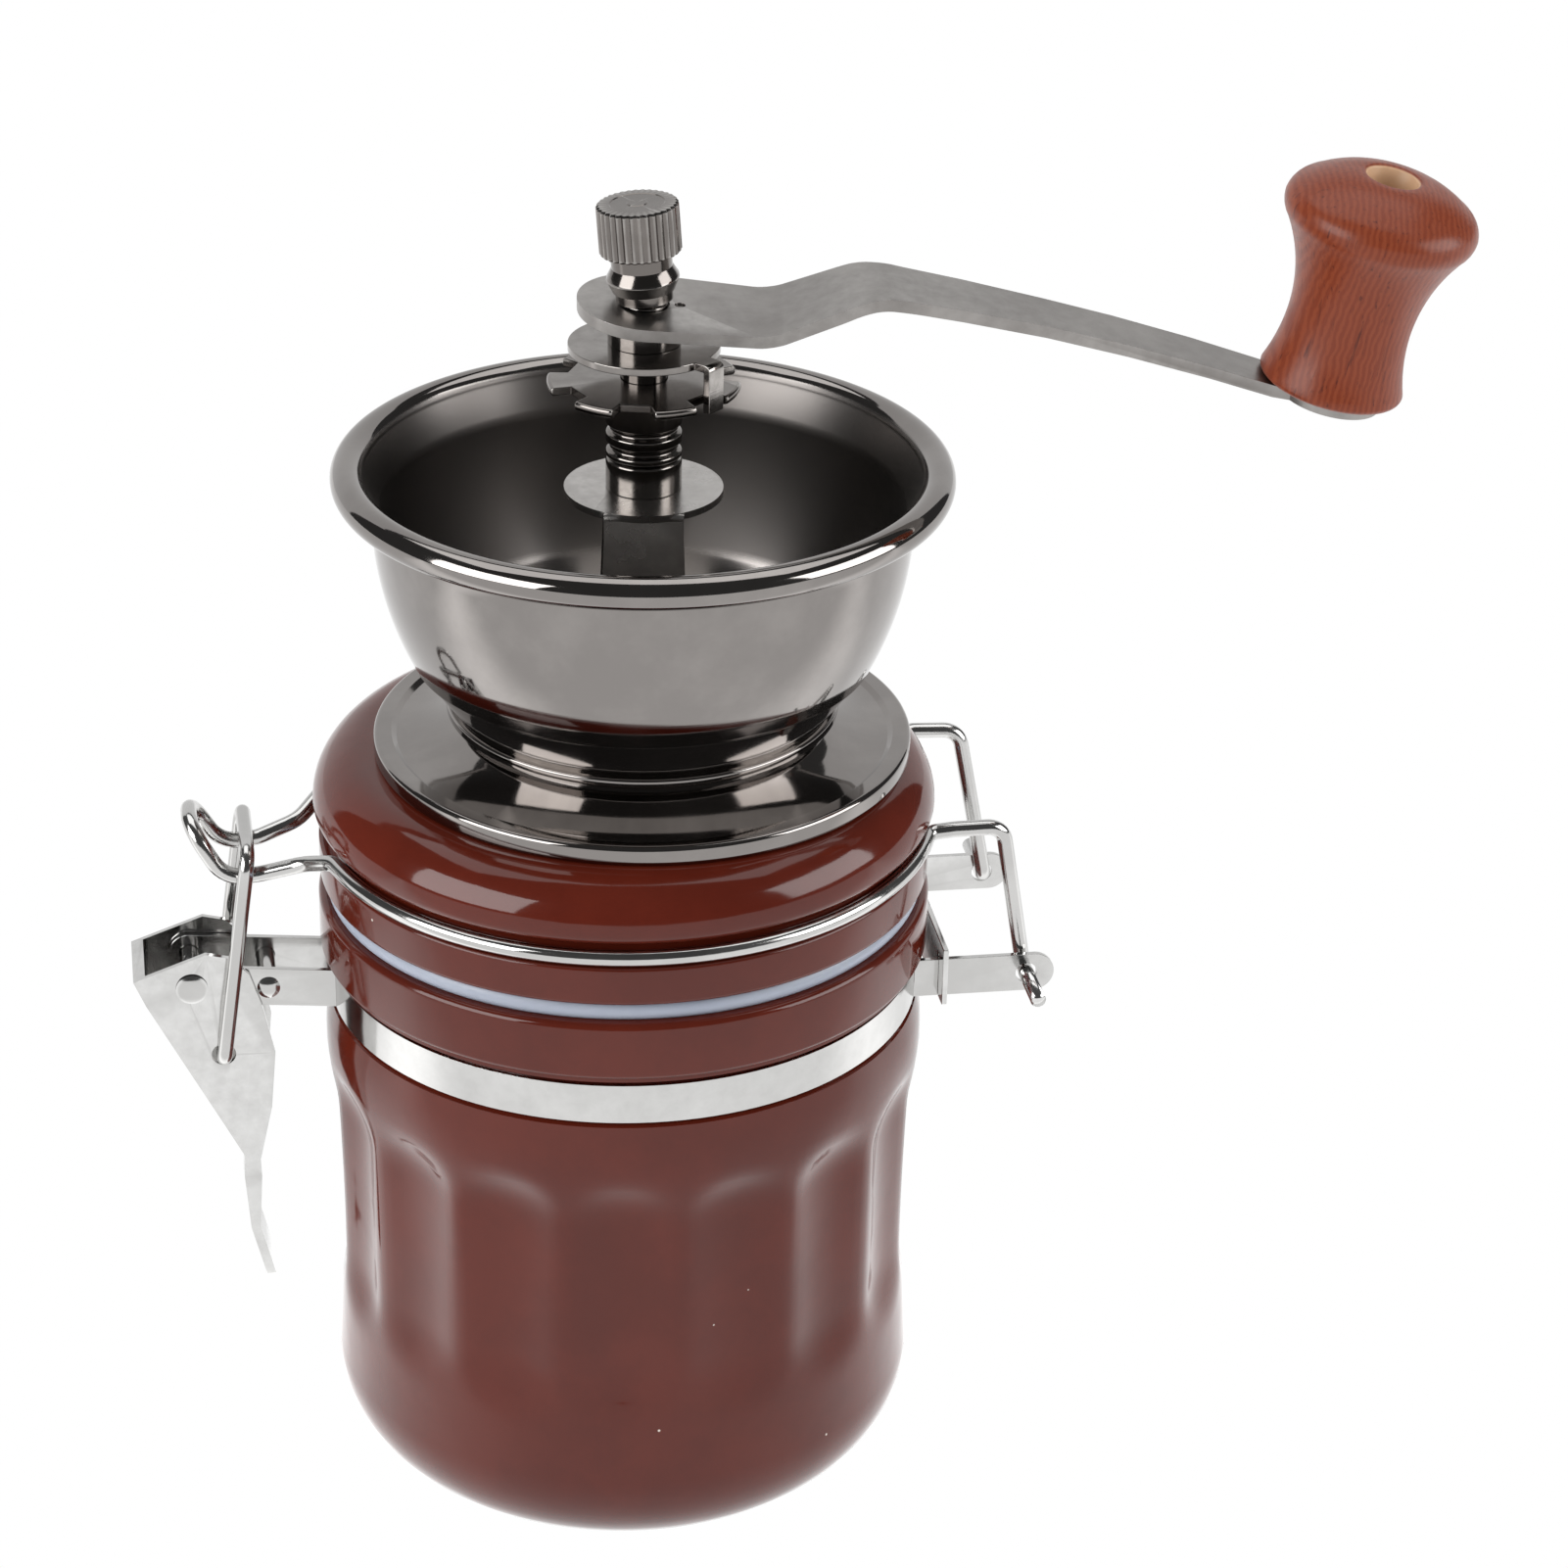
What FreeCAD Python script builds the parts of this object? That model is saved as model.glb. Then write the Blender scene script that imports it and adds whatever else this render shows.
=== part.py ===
import FreeCAD, Part
import math
import os
import re
import Sketcher
from FreeCAD import Placement, Rotation, Vector

# Manual coffee grinder: a glazed jar with a clamped lid, and a mill with an open hopper on the lid.
# Millimetres, +Z up. The origin is the centre of the jar's foot, on the table.
# The clasp is on the -X side and the lid's hinge on the +X side.
# The mill has an axis of its own, a little beside the jar's, and is turned a little about it.

os.makedirs("parts", exist_ok=True)
doc = FreeCAD.newDocument("CoffeeGrinder")

sizes = {
    # jar
    "jar_taper": 0.6, "corner_radius": 15.1, "shoulder_radius": 48.1, "shoulder_drop": 9.3,
    "waist_bend": 350.0, "shoulder_bend": 30.0, "jar_height": 101.1, "collar_step": 0.4,
    "collar_height": 9.5, "lip_round": 1.2, "lip_wall": 8.3, "mouth_ledge": 1.3, "jar_floor": 6.5,
    "jar_inner_round": 13.0, "flute_count": 16, "flute_radius": 24.0, "flute_depth": 2.8,
    "flute_bottom": 36.0, "flute_gap": 10.0, "flute_end_round": 12.0, "flute_end_depth": 4.8,
    "flute_turn": -7.5, "shoulder_edge": 0.9, "shoulder_edge_drop": 0.8, "strap_groove_margin": 0.3,
    "collar_root": 0.6, "collar_round": 0.9,
    # strap, its ears and the hinge
    "strap_drop": 17.8, "strap_width": 6.5, "strap_sink": 1.95, "sheet": 0.9, "strap_gap": 0.15,
    "clasp_ear_half_gap": 4.8, "hinge_ear_half_gap": 16.9, "ear_radius": 3.25, "hinge_reach": 15.0,
    "hinge_rise": 3.1, "retainer_gap": 2.55, "retainer_rise": 3.4, "retainer_margin": 4.15,
    "spacer_ahead": 12.0, "spacer_rise": 4.3, "spacer_radius_over": 0.3, "rivet_radius": 1.5,
    "rivet_head_height": 0.5, "rivet_play": 0.02, "retainer_slot_rise": 1.2, "strap_plan_below": 2.0,
    "strap_plan_above": 4.0,
    # clasp
    "pivot_reach": 21.1, "pivot_rise": 5.5, "lever_half_width": 6.8, "lever_sheet": 0.85,
    "pivot_head": 2.5, "loop_hole_ahead": 4.5, "loop_hole_drop": 12.2, "loop_wire": 1.2,
    "loop_half_width": 8.9, "loop_bar_ahead": 9.5, "loop_bar_drop": 0.0, "loop_corner": 3.0,
    "tail_ahead": 8.4, "tail_end": 58.5, "tail_start": 41.5, "tail_width": 9.0, "tail_thickness": 1.5,
    "lever_nose": 9.0, "lever_nose_rise": 1.7, "lever_heel": 7.2, "lever_heel_drop": 2.7,
    "lever_back": 4.2, "lever_back_drop": 25.5, "lever_neck_in": 7.4, "lever_neck_out": 9.6,
    "lever_neck_drop": 32.0, "lever_belly_low": 11.7, "lever_belly_low_drop": 22.5, "lever_belly": 12.6,
    "lever_belly_drop": 12.5, "lever_belly_high": 11.0, "lever_belly_high_drop": 4.5,
    "lever_shoulder": 9.0, "lever_shoulder_drop": -1.9, "lever_brow": 6.0, "lever_brow_rise": 5.0,
    "lever_crown": -2.4, "lever_crown_rise": 5.9, "lever_wall": 1.0, "lever_open": 16.0,
    "neck_half": 2.6, "neck_overlap": 0.4, "twist_half": 1.4, "twist_width": 1.7, "twist_rise": 3.0,
    "tail_full_drop": 5.0, "tail_tip_rise": 3.0, "tail_tip_inset": 2.0, "loop_end_gap": 0.5,
    "loop_hook_bend": 1.6,
    # lid, gasket and bail
    "gasket_thickness": 3.0, "gasket_inset": 2.0, "spigot_gap": 2.0, "spigot_depth": 3.1,
    "lid_ring_inset": 0.3, "lid_ring_height": 6.5, "bail_groove_depth": 1.3, "bail_groove_width": 4.0,
    "lid_round": 8.0, "lid_bulge": 0.75, "lid_dome": 13.8, "lid_bore": 25.6, "recess_gap": 0.9,
    "lid_roof": 10.4, "bail_wire": 1.25, "bail_gap": 0.15, "bail_leg_inset": 1.9,
    "pin_clearance": 0.08, "fit_gap": 0.05, "seat_gap": 0.2, "beyond": 1.0,
    "lid_ring_round": 1.0, "lid_groove_round": 0.6, "bulge_inset": 0.7, "bulge_rise": 0.3,
    "bulge_bend": 2.4, "gasket_bulge": 1.8, "bail_root_angle": 23.0, "bail_leave_angle": -161.0,
    "bail_pin": 9.0, "bail_pin_bend": 1.8, "bail_leg_lean": 4.9, "bail_leg_out": 2.4,
    "bail_leg_rise": 0.35, "bail_leg_bend": 3.2, "bail_top_in": 12.8, "bail_top_out": 2.8,
    "bail_top_rise": 0.5, "bail_top_bend": 2.6, "bail_lead": 2.6, "bail_lead_bend": 1.9,
    "bail_leave": 3.4, "bail_leave_bend": 5.0, "tongue_root": 8.7, "tongue_root_half": 7.6,
    "tongue_root_drop": 2.4, "tongue_root_bend": 6.0, "tongue_neck": 2.2, "tongue_neck_half": 6.2,
    "tongue_neck_drop": 4.4, "tongue_neck_bend": 5.0, "tongue_dip": 3.6, "tongue_dip_half": 6.1,
    "tongue_dip_drop": 5.0, "tongue_dip_bend": 5.0, "tongue_tip": 8.5, "tongue_tip_half": 5.0,
    "tongue_tip_rise": 3.6, "tongue_tip_bend": 4.6,
    # mill axis and hopper
    "mill_shift": 2.8, "mill_turn": -7.5, "base_radius": 42.0, "base_rim_height": 3.2,
    "throat_radius": 26.0, "neck_radius": 29.5, "neck_height": 6.9, "bead_step": 1.1,
    "base_height": 8.6, "bowl_sheet": 1.2, "bowl_low_radius": 36.0, "bowl_low_rise": 8.5,
    "rim_flare": 3.6, "bowl_rise": 24.5, "bowl_bend": 50.0, "rim_radius": 45.0, "rim_wire": 2.5,
    "rim_rise": 4.1, "base_round": 0.8, "base_flat": 2.8, "base_slope": 0.8, "base_dip": 0.6,
    "cone_rise": 2.4, "cone_bend": 16.0, "bowl_foot_in": 1.0, "bowl_low_lip": 0.9,
    "bowl_low_bend": 1.2, "rim_start_angle": 34.0,
    # burrs and what holds them
    "housing_radius": 24.6, "housing_wall": 3.1, "collar_bore": 17.6, "housing_depth": 44.0,
    "housing_flange_radius": 31.6, "housing_flange": 4.0, "screw_inset": 2.6, "screw_radius": 1.8,
    "screw_head": 3.0, "screw_head_height": 2.0, "screw_reach": 4.0, "screw_count": 3,
    "spider_height": 4.0, "spider_hub": 6.5, "spider_rim": 3.0, "spoke_width": 5.0, "burr_rise": 6.0,
    "burr_height": 18.0, "burr_low_radius": 17.6, "burr_high_radius": 11.5, "burr_gap": 0.6,
    "burr_tooth_count": 12, "burr_tooth_radius": 1.4, "housing_collar_gap": 0.4,
    "housing_cone": 8.0, "screw_play": 0.2, "screw_lid_play": 0.3, "screw_end_gap": 0.5,
    "spoke_reach": 1.0, "burr_lip": 1.0, "burr_nose": 3.0, "burr_nose_height": 2.0,
    "burr_tooth_lean": 14.0, "burr_tooth_out": 1.2, "burr_tooth_side": 3.0, "burr_tooth_drop": 4.0,
    # bridge, bushing and spring
    "bridge_height": 43.6, "bridge_sheet": 1.1, "bridge_disc": 12.15, "bridge_width": 12.0,
    "bridge_foot_width": 15.0, "bridge_shoulder": 10.5, "bridge_leg_out": 23.4, "bridge_foot_in": 17.9,
    "bridge_screw_circle": 19.6, "bridge_screw": 1.1, "bridge_screw_head": 1.7, "bushing_radius": 5.8,
    "bushing_rise": 5.05, "bushing_tail": 4.6, "bushing_drop": 4.6, "spring_radius": 5.6,
    "spring_wire": 0.6, "spring_turns": 7, "spring_rise": 13.0, "spring_seat": 1.0,
    "bridge_neck_drop": 4.0, "bridge_bore_depth": 5.0, "bridge_screw_length": 5.5,
    "bridge_screw_head_height": 1.0, "bridge_screw_bore": 6.0, "bushing_edge": 0.4,
    # shaft and what turns with it
    "shaft_radius": 3.0, "stud_radius": 3.5, "tip_radius": 2.5, "shaft_tail": 7.0, "stud_drop": 1.4,
    "shaft_collar": 6.6, "shaft_collar_height": 1.6, "stud_above_arm": 10.6, "wheel_radius": 14.65,
    "wheel_rise": 10.95, "wheel_thickness": 1.4, "wheel_lobes": 7, "notch_depth": 3.2,
    "notch_width": 6.8, "notch_root": 4.6, "hub_radius": 5.8, "hub_gap": 0.2, "hub_groove": 0.7,
    "washer_radius": 11.5, "washer_gap": 4.4, "washer_thickness": 1.2, "tab_angle": -41.0,
    "tab_step": 1.5, "tab_width": 3.4, "tab_reach": 0.5, "tab_root": 2.0, "tab_bend": 1.0,
    "spacer_radius": 5.5, "hub_groove_low": 0.9, "hub_groove_high": 3.8, "hub_groove_slope": 0.4,
    "hub_groove_width": 0.7, "wheel_edge": 0.3, "notch_flare": 0.3, "shaft_end": 0.5,
    "thrust_height": 1.2, "shaft_nut_height": 4.0, "shaft_nut_radius": 6.2,
    # crank
    "arm_thickness": 1.9, "arm_hub_radius": 10.1, "arm_spacer_height": 3.7, 
    "arm_dip_x": 18.7, 
    "knob_lean": 10.8, "arm_mid_x": 60.0, "arm_mid_width": 10.1,
    "arm_end_width": 8.4, "arm_end_radius": 7.8, "arm_reach": 103.8, "arm_mark_x": 5.3,
    "arm_mark_radius": 0.8, "nut_neck_radius": 4.3, "nut_flare_radius": 5.3, "nut_flare_height": 3.6,
    "nut_waist_height": 5.3, "nut_knurl_radius": 6.2, "nut_knurl_height": 7.2, "nut_height": 14.95,
    "nut_chamfer": 0.3, "knurl_count": 34, "knurl_depth": 0.3, "knob_length": 34.5,
    "knob_foot_radius": 11.1, "knob_waist_radius": 9.4, "knob_waist_height": 11.0,
    "knob_head_radius": 14.75, "knob_head_height": 28.3, "knob_hole_radius": 3.95,
    "knob_hole_depth": 11.0, "knob_pin_radius": 2.0, "knob_pin_head": 3.4, "knob_pin_head_height": 1.6,
    "knob_seat_gap": 0.3, 
    
    "arm_hub_share": 0.99, 
    "arm_mark_depth": 0.8, "arm_above": 10.0, "arm_below": 40.0,
    "nut_base_height": 1.5, 
    "nut_knurl_start": 0.5, "nut_end_gap": 0.6, "knurl_start": 0.6, "knurl_over": 0.2,
    "knurl_flare": 0.1, "knob_foot_round": 1.0, "knob_waist_bend": 30.0, "knob_neck_in": 2.05,
    "knob_neck_drop": 4.4, "knob_neck_bend": 27.0, "knob_head_bend": 4.0, "knob_top_in": 2.15,
    "knob_top_drop": 3.1, "knob_top_bend": 17.0, "knob_mouth": 0.65, "knob_mouth_drop": 0.4,
    "knob_mouth_bend": 0.9, "pin_neck_share": 0.75, "pin_tail": 1.4, "pin_tail_small": 0.6,
    "pin_tail_large": 1.4, "pin_tail_bend": 1.5, "pin_tail_gap": 0.1, "pin_head_edge": 0.4,
    "arm_roll": 4.5, "arm_hub_slope": 5.1, "arm_seat_drop": 0.72, "arm_bore_play": 0.25,
    "arm_rise": 21.0, "arm_rise_x": 29.8, "arm_rise_z": 2.54, "arm_crest_x": 37.0,
    "arm_crest_z": 3.49, "arm_crest_bend": 14.0, "arm_crest_fall": 9.0, "arm_bow": 400.0,
    "arm_bend_x": 95.0, "arm_bend_z": -11.21, "arm_bend_fall": 15.0, "arm_dip_under": 0.3,
    "arm_shoulder_x": 29.0, "arm_shoulder_half": 8.15, "arm_shoulder_bend": 22.0,
    "arm_waist_x": 34.2, "arm_waist_half": 7.05, "arm_waist_bend": 36.0, "arm_neck_x": 41.0,
    "arm_neck_half": 6.05, "nut_lift": 0.57, "nut_base_step": 0.4, "nut_waist_radius": 4.6,
    "knob_cheek_in": 1.05, "knob_cheek_drop": 2.7, "wheel_angle": -45.0, "hinge_shift": 3.4,
    "bail_root_turn": 3.0, "ear_over": 1.3, "tail_lean": 2.2, "lever_neck_lap": 0.2,
}

# Places and sizes that follow from the ones above
places = {
    "jar_radius": "(shoulder_radius - jar_taper)",
    "foot_radius": "(jar_radius - corner_radius)",
    "shoulder_height": "(strap_bottom - shoulder_drop)",
    "collar_radius": "(shoulder_radius + collar_step)",
    "collar_bottom": "(jar_height - collar_height)",
    "mouth_radius": "(collar_radius - lip_wall)",
    "jar_inner_radius": "(mouth_radius + mouth_ledge)",
    "flute_floor": "(jar_radius - flute_depth)",
    "flute_top": "(shoulder_height - flute_gap)",
    "strap_bottom": "(jar_height - strap_drop)",
    "strap_top": "(strap_bottom + strap_width)",
    "strap_radius": "(shoulder_radius - strap_sink)",
    "hinge_x": "(shoulder_radius + hinge_reach)",
    "hinge_z": "(strap_bottom + hinge_rise)",
    "retainer_x": "(strap_radius + retainer_gap)",
    "retainer_bottom": "(strap_bottom)",
    "retainer_top": "(strap_top + retainer_rise)",
    "retainer_half_width": "(hinge_ear_half_gap + retainer_margin)",
    "spacer_x": "(pivot_x + spacer_ahead)",
    "spacer_z": "(strap_bottom + spacer_rise)",
    "pivot_x": "(-(shoulder_radius + pivot_reach))",
    "pivot_z": "(strap_bottom + pivot_rise)",
    "loop_hole_x": "(pivot_x + loop_hole_ahead)",
    "loop_hole_z": "(pivot_z - loop_hole_drop)",
    "loop_bar_x": "(pivot_x + loop_bar_ahead)",
    "loop_bar_z": "(bail_height - loop_bar_drop)",
    "tail_x": "(pivot_x + tail_ahead)",
    "tail_bottom": "(pivot_z - tail_end)",
    "tail_top": "(pivot_z - tail_start)",
    "gasket_radius": "(collar_radius - gasket_inset)",
    "spigot_radius": "(mouth_radius - spigot_gap)",
    "spigot_bottom": "(jar_height - spigot_depth)",
    "lid_ring_radius": "(collar_radius - lid_ring_inset)",
    "lid_ring_top": "(jar_height + gasket_thickness + lid_ring_height)",
    "bail_groove_floor": "(lid_ring_radius - bail_groove_depth)",
    "bulge_bottom": "(lid_ring_top + bail_groove_width)",
    "lid_radius": "(lid_ring_radius + lid_bulge)",
    "lid_top": "(lid_ring_top + lid_dome)",
    "recess_radius": "(housing_flange_radius + recess_gap)",
    "recess_top": "(lid_top - lid_roof)",
    "bail_height": "(lid_ring_top + bail_groove_width / 2)",
    "bail_radius": "(bail_groove_floor + bail_wire + bail_gap)",
    "bail_leg_y": "(hinge_ear_half_gap - bail_leg_inset)",
    "bead_radius": "(neck_radius + bead_step)",
    "bowl_low_height": "(lid_top + base_height + bowl_low_rise)",
    "bowl_high_height": "(bowl_low_height + bowl_rise)",
    "bowl_high_radius": "(rim_radius - rim_flare)",
    "rim_height": "(bowl_high_height + rim_rise)",
    "housing_bore": "(housing_radius - housing_wall)",
    "housing_bottom": "(recess_top - housing_depth)",
    "screw_circle": "(housing_flange_radius - screw_inset)",
    "burr_bottom": "(housing_bottom + burr_rise)",
    "bridge_top": "(lid_top + bridge_height)",
    "bushing_top": "(bridge_top + bushing_rise)",
    "bushing_bottom": "(bridge_top - bushing_drop)",
    "spring_top": "(bushing_bottom - spring_seat)",
    "spring_bottom": "(lid_top + spring_rise)",
    "stud_bottom": "(spring_bottom - stud_drop)",
    "shaft_bottom": "(housing_bottom - shaft_tail)",
    "shaft_top": "(arm_hub_top + stud_above_arm)",
    "hub_bottom": "(bushing_top + hub_gap)",
    "wheel_bottom": "(hub_bottom + wheel_rise)",
    "wheel_top": "(wheel_bottom + wheel_thickness)",
    "washer_bottom": "(wheel_top + washer_gap)",
    "washer_top": "(washer_bottom + washer_thickness)",
    "tab_bottom": "(wheel_bottom - tab_reach)",
    "tab_inner": "(washer_radius + tab_step)",
    "tab_outer": "(tab_inner + washer_thickness)",
    "arm_hub_top": "(washer_top + arm_spacer_height + arm_seat_drop + arm_thickness)",
    "arm_dip": "(arm_dip_x * tan(arm_hub_slope))",
    "arm_tip_x": "(arm_reach + arm_end_radius + beyond)",
    "arm_end_z": "(arm_bend_z - (arm_reach - arm_bend_x) * tan(knob_lean))",
    "arm_tip_z": "(arm_bend_z - (arm_tip_x - arm_bend_x) * tan(knob_lean))",
    "nut_bottom": "(arm_hub_top + nut_lift)",
}

sheet = doc.addObject("Spreadsheet::Sheet", "Sizes")
for row, (name, size) in enumerate(sizes.items(), 1):
    sheet.set("A%d" % row, name)
    sheet.set("B%d" % row, str(size))
    sheet.setAlias("B%d" % row, name)
doc.recompute()

word = re.compile(r"[A-Za-z_]\w*")


def cell(found):
    if found[0] in places:
        return formula(places[found[0]])
    return "Sizes." + found[0] if found[0] in sizes else found[0]


def formula(text):
    return word.sub(cell, str(text))


def number(text):
    result = sheet.evalExpression(formula(text))
    return float(getattr(result, "Value", result))


def bind(thing, prop, text):
    thing.setExpression(prop, formula(text))


def place(thing, x="0", y="0", z="0"):
    bind(thing, "Placement.Base.x", x)
    bind(thing, "Placement.Base.y", y)
    bind(thing, "Placement.Base.z", z)


def on_mill(thing):
    """Moves a piece drawn about the mill's axis to where that axis stands."""
    thing.Placement = Placement(thing.Placement.Base, Rotation(Vector(0, 0, 1), number("mill_turn")))
    bind(thing, "Placement.Rotation.Angle", "mill_turn")
    bind(thing, "Placement.Base.x", "mill_shift * cos(mill_turn)")
    bind(thing, "Placement.Base.y", "mill_shift * sin(mill_turn)")
    return thing


# Sketches: each corner is (across, up), or (across, up, radius, side) where an arc arrives
def draw(sketch, corners, circles=()):
    count = len(corners)
    spots = [Vector(number(corner[0]), number(corner[1]), 0) for corner in corners]
    runs = []
    for i in range(count):
        start, corner = spots[i], corners[(i + 1) % count]
        end = spots[(i + 1) % count]
        if len(corner) == 2:
            runs.append((sketch.addGeometry(Part.LineSegment(start, end), False), 1, 2))
            continue
        radius, left = number(corner[2]), corner[3] == "left"
        half = (end - start) * 0.5
        away = math.sqrt(max(radius ** 2 - half.Length ** 2, 0))
        across = Vector(-half.y, half.x, 0).normalize() * away
        centre = start + half + (across if left else -across)
        first, last = (start, end) if left else (end, start)
        from_angle = math.atan2(first.y - centre.y, first.x - centre.x)
        to_angle = math.atan2(last.y - centre.y, last.x - centre.x)
        circle = Part.Circle(centre, Vector(0, 0, 1), radius)
        index = sketch.addGeometry(Part.ArcOfCircle(circle, from_angle, to_angle), False)
        runs.append((index, 1, 2) if left else (index, 2, 1))
        rule = sketch.addConstraint(Sketcher.Constraint("Radius", index, radius))
        bind(sketch, "Constraints[%d]" % rule, corner[2])
    for i, (index, first, last) in enumerate(runs):
        after = runs[(i + 1) % count]
        sketch.addConstraint(Sketcher.Constraint("Coincident", index, last, after[0], after[1]))
        fix_point(sketch, index, first, corners[i])
    for x, y, radius in circles:
        circle = Part.Circle(Vector(number(x), number(y), 0), Vector(0, 0, 1), number(radius))
        index = sketch.addGeometry(circle, False)
        rule = sketch.addConstraint(Sketcher.Constraint("Radius", index, number(radius)))
        bind(sketch, "Constraints[%d]" % rule, radius)
        fix_point(sketch, index, 3, (x, y))


def fix_point(sketch, index, point, spot):
    for kind, text in (("DistanceX", spot[0]), ("DistanceY", spot[1])):
        rule = sketch.addConstraint(Sketcher.Constraint(kind, index, point, number(text)))
        bind(sketch, "Constraints[%d]" % rule, text)


def new_sketch(body, plane, corners, offset="0", circles=()):
    sketch = body.newObject("Sketcher::SketchObject", body.Label + "_sketch")
    support = [item for item in body.Origin.OriginFeatures if item.Role == plane][0]
    sketch.AttachmentSupport = [(support, "")]
    sketch.MapMode = "FlatFace"
    bind(sketch, "AttachmentOffset.Base.z", offset)
    draw(sketch, corners, circles)
    return sketch


def new_body(label):
    return doc.addObject("PartDesign::Body", label)


def turned(label, corners):
    """A body turned about Z from its half section (radius, height)."""
    body = new_body(label)
    feature = body.newObject("PartDesign::Revolution", label + "_turned")
    feature.Profile = new_sketch(body, "XZ_Plane", corners)
    feature.ReferenceAxis = (feature.Profile[0], ["V_Axis"])
    feature.Angle = 360
    body.Tip = feature
    return body


def slab(label, plane, corners, low, high, circles=()):
    """A body padded from an outline, between two distances along the plane's normal."""
    body = new_body(label)
    feature = body.newObject("PartDesign::Pad", label + "_pad")
    feature.Profile = new_sketch(body, plane, corners, low, circles)
    bind(feature, "Length", "(%s) - (%s)" % (high, low))
    body.Tip = feature
    return body


def pocket(body, plane, corners, low, high, circles=()):
    """Cuts an outline out of a body, between two distances along the plane's normal."""
    feature = body.newObject("PartDesign::Pocket", body.Label + "_pocket")
    feature.Profile = new_sketch(body, plane, corners, low, circles)
    feature.Reversed = True
    bind(feature, "Length", "(%s) - (%s)" % (high, low))
    body.Tip = feature
    return feature


def round_the_axis(body, feature, count):
    pattern = body.newObject("PartDesign::PolarPattern", body.Label + "_pattern")
    pattern.Originals = [feature]
    pattern.Axis = ([item for item in body.Origin.OriginFeatures if item.Role == "Z_Axis"][0], [""])
    pattern.Angle = 360
    bind(pattern, "Occurrences", count)
    body.Tip = pattern


def rod(label, radius, low, high, x="0", y="0", along="Z"):
    """A cylinder along Z at (x, y), or along Y at (x, z)."""
    solid = doc.addObject("Part::Cylinder", label)
    bind(solid, "Radius", radius)
    bind(solid, "Height", "(%s) - (%s)" % (high, low))
    if along == "Z":
        place(solid, x, y, low)
    else:
        solid.Placement = Placement(Vector(), Rotation(Vector(1, 0, 0), -90))
        place(solid, x, low, y)
    return solid


def hexagon(label, radius, low, high):
    solid = doc.addObject("Part::Prism", label)
    solid.Polygon = 6
    bind(solid, "Circumradius", radius)
    bind(solid, "Height", "(%s) - (%s)" % (high, low))
    place(solid, z=low)
    return solid


def joined(label, pieces):
    solid = doc.addObject("Part::MultiFuse", label)
    solid.Shapes = pieces
    return solid


def cut(label, base, tools):
    solid = doc.addObject("Part::Cut", label)
    solid.Base = base
    solid.Tool = tools[0] if len(tools) == 1 else joined(label + "_tools", tools)
    return solid


def shared(label, first, second):
    solid = doc.addObject("Part::Common", label)
    solid.Base, solid.Tool = first, second
    return solid


def set_of(label, pieces):
    group = doc.addObject("Part::Compound", label)
    group.Links = pieces
    return group


def fixed_shape(label, shape):
    solid = doc.addObject("Part::Feature", label)
    solid.Shape = shape
    return solid


# Wires: straight runs joined by tangent arcs, from corner points that each carry a bend radius
def bent_path(corners):
    edges = []
    here = corners[0][0]
    for (before, _), (corner, radius), (after, _) in zip(corners, corners[1:], corners[2:]):
        into = (corner - before).normalize()
        out = (after - corner).normalize()
        turn = into.getAngle(out)
        reach = radius * math.tan(turn / 2)
        start, end = corner - into * reach, corner + out * reach
        inward = (out - into).normalize()
        middle = corner + inward * (radius / math.cos(turn / 2) - radius)
        if (start - here).Length > 1e-4:
            edges.append(Part.makeLine(here, start))
        edges.append(Part.Arc(start, middle, end).toShape())
        here = end
    edges.append(Part.makeLine(here, corners[-1][0]))
    return Part.Wire(edges)


def swept(path, radius):
    start = path.OrderedVertexes[0].Point
    along = path.OrderedEdges[0].tangentAt(path.OrderedEdges[0].FirstParameter)
    ring = Part.Wire([Part.makeCircle(radius, start, along)])
    return path.makePipeShell([ring], True, False)


def at(x, y, z):
    return Vector(number(x), number(y), number(z))


nodes = {}


def keep(name, thing):
    thing.Label = name
    nodes[name] = thing
    return thing


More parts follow.
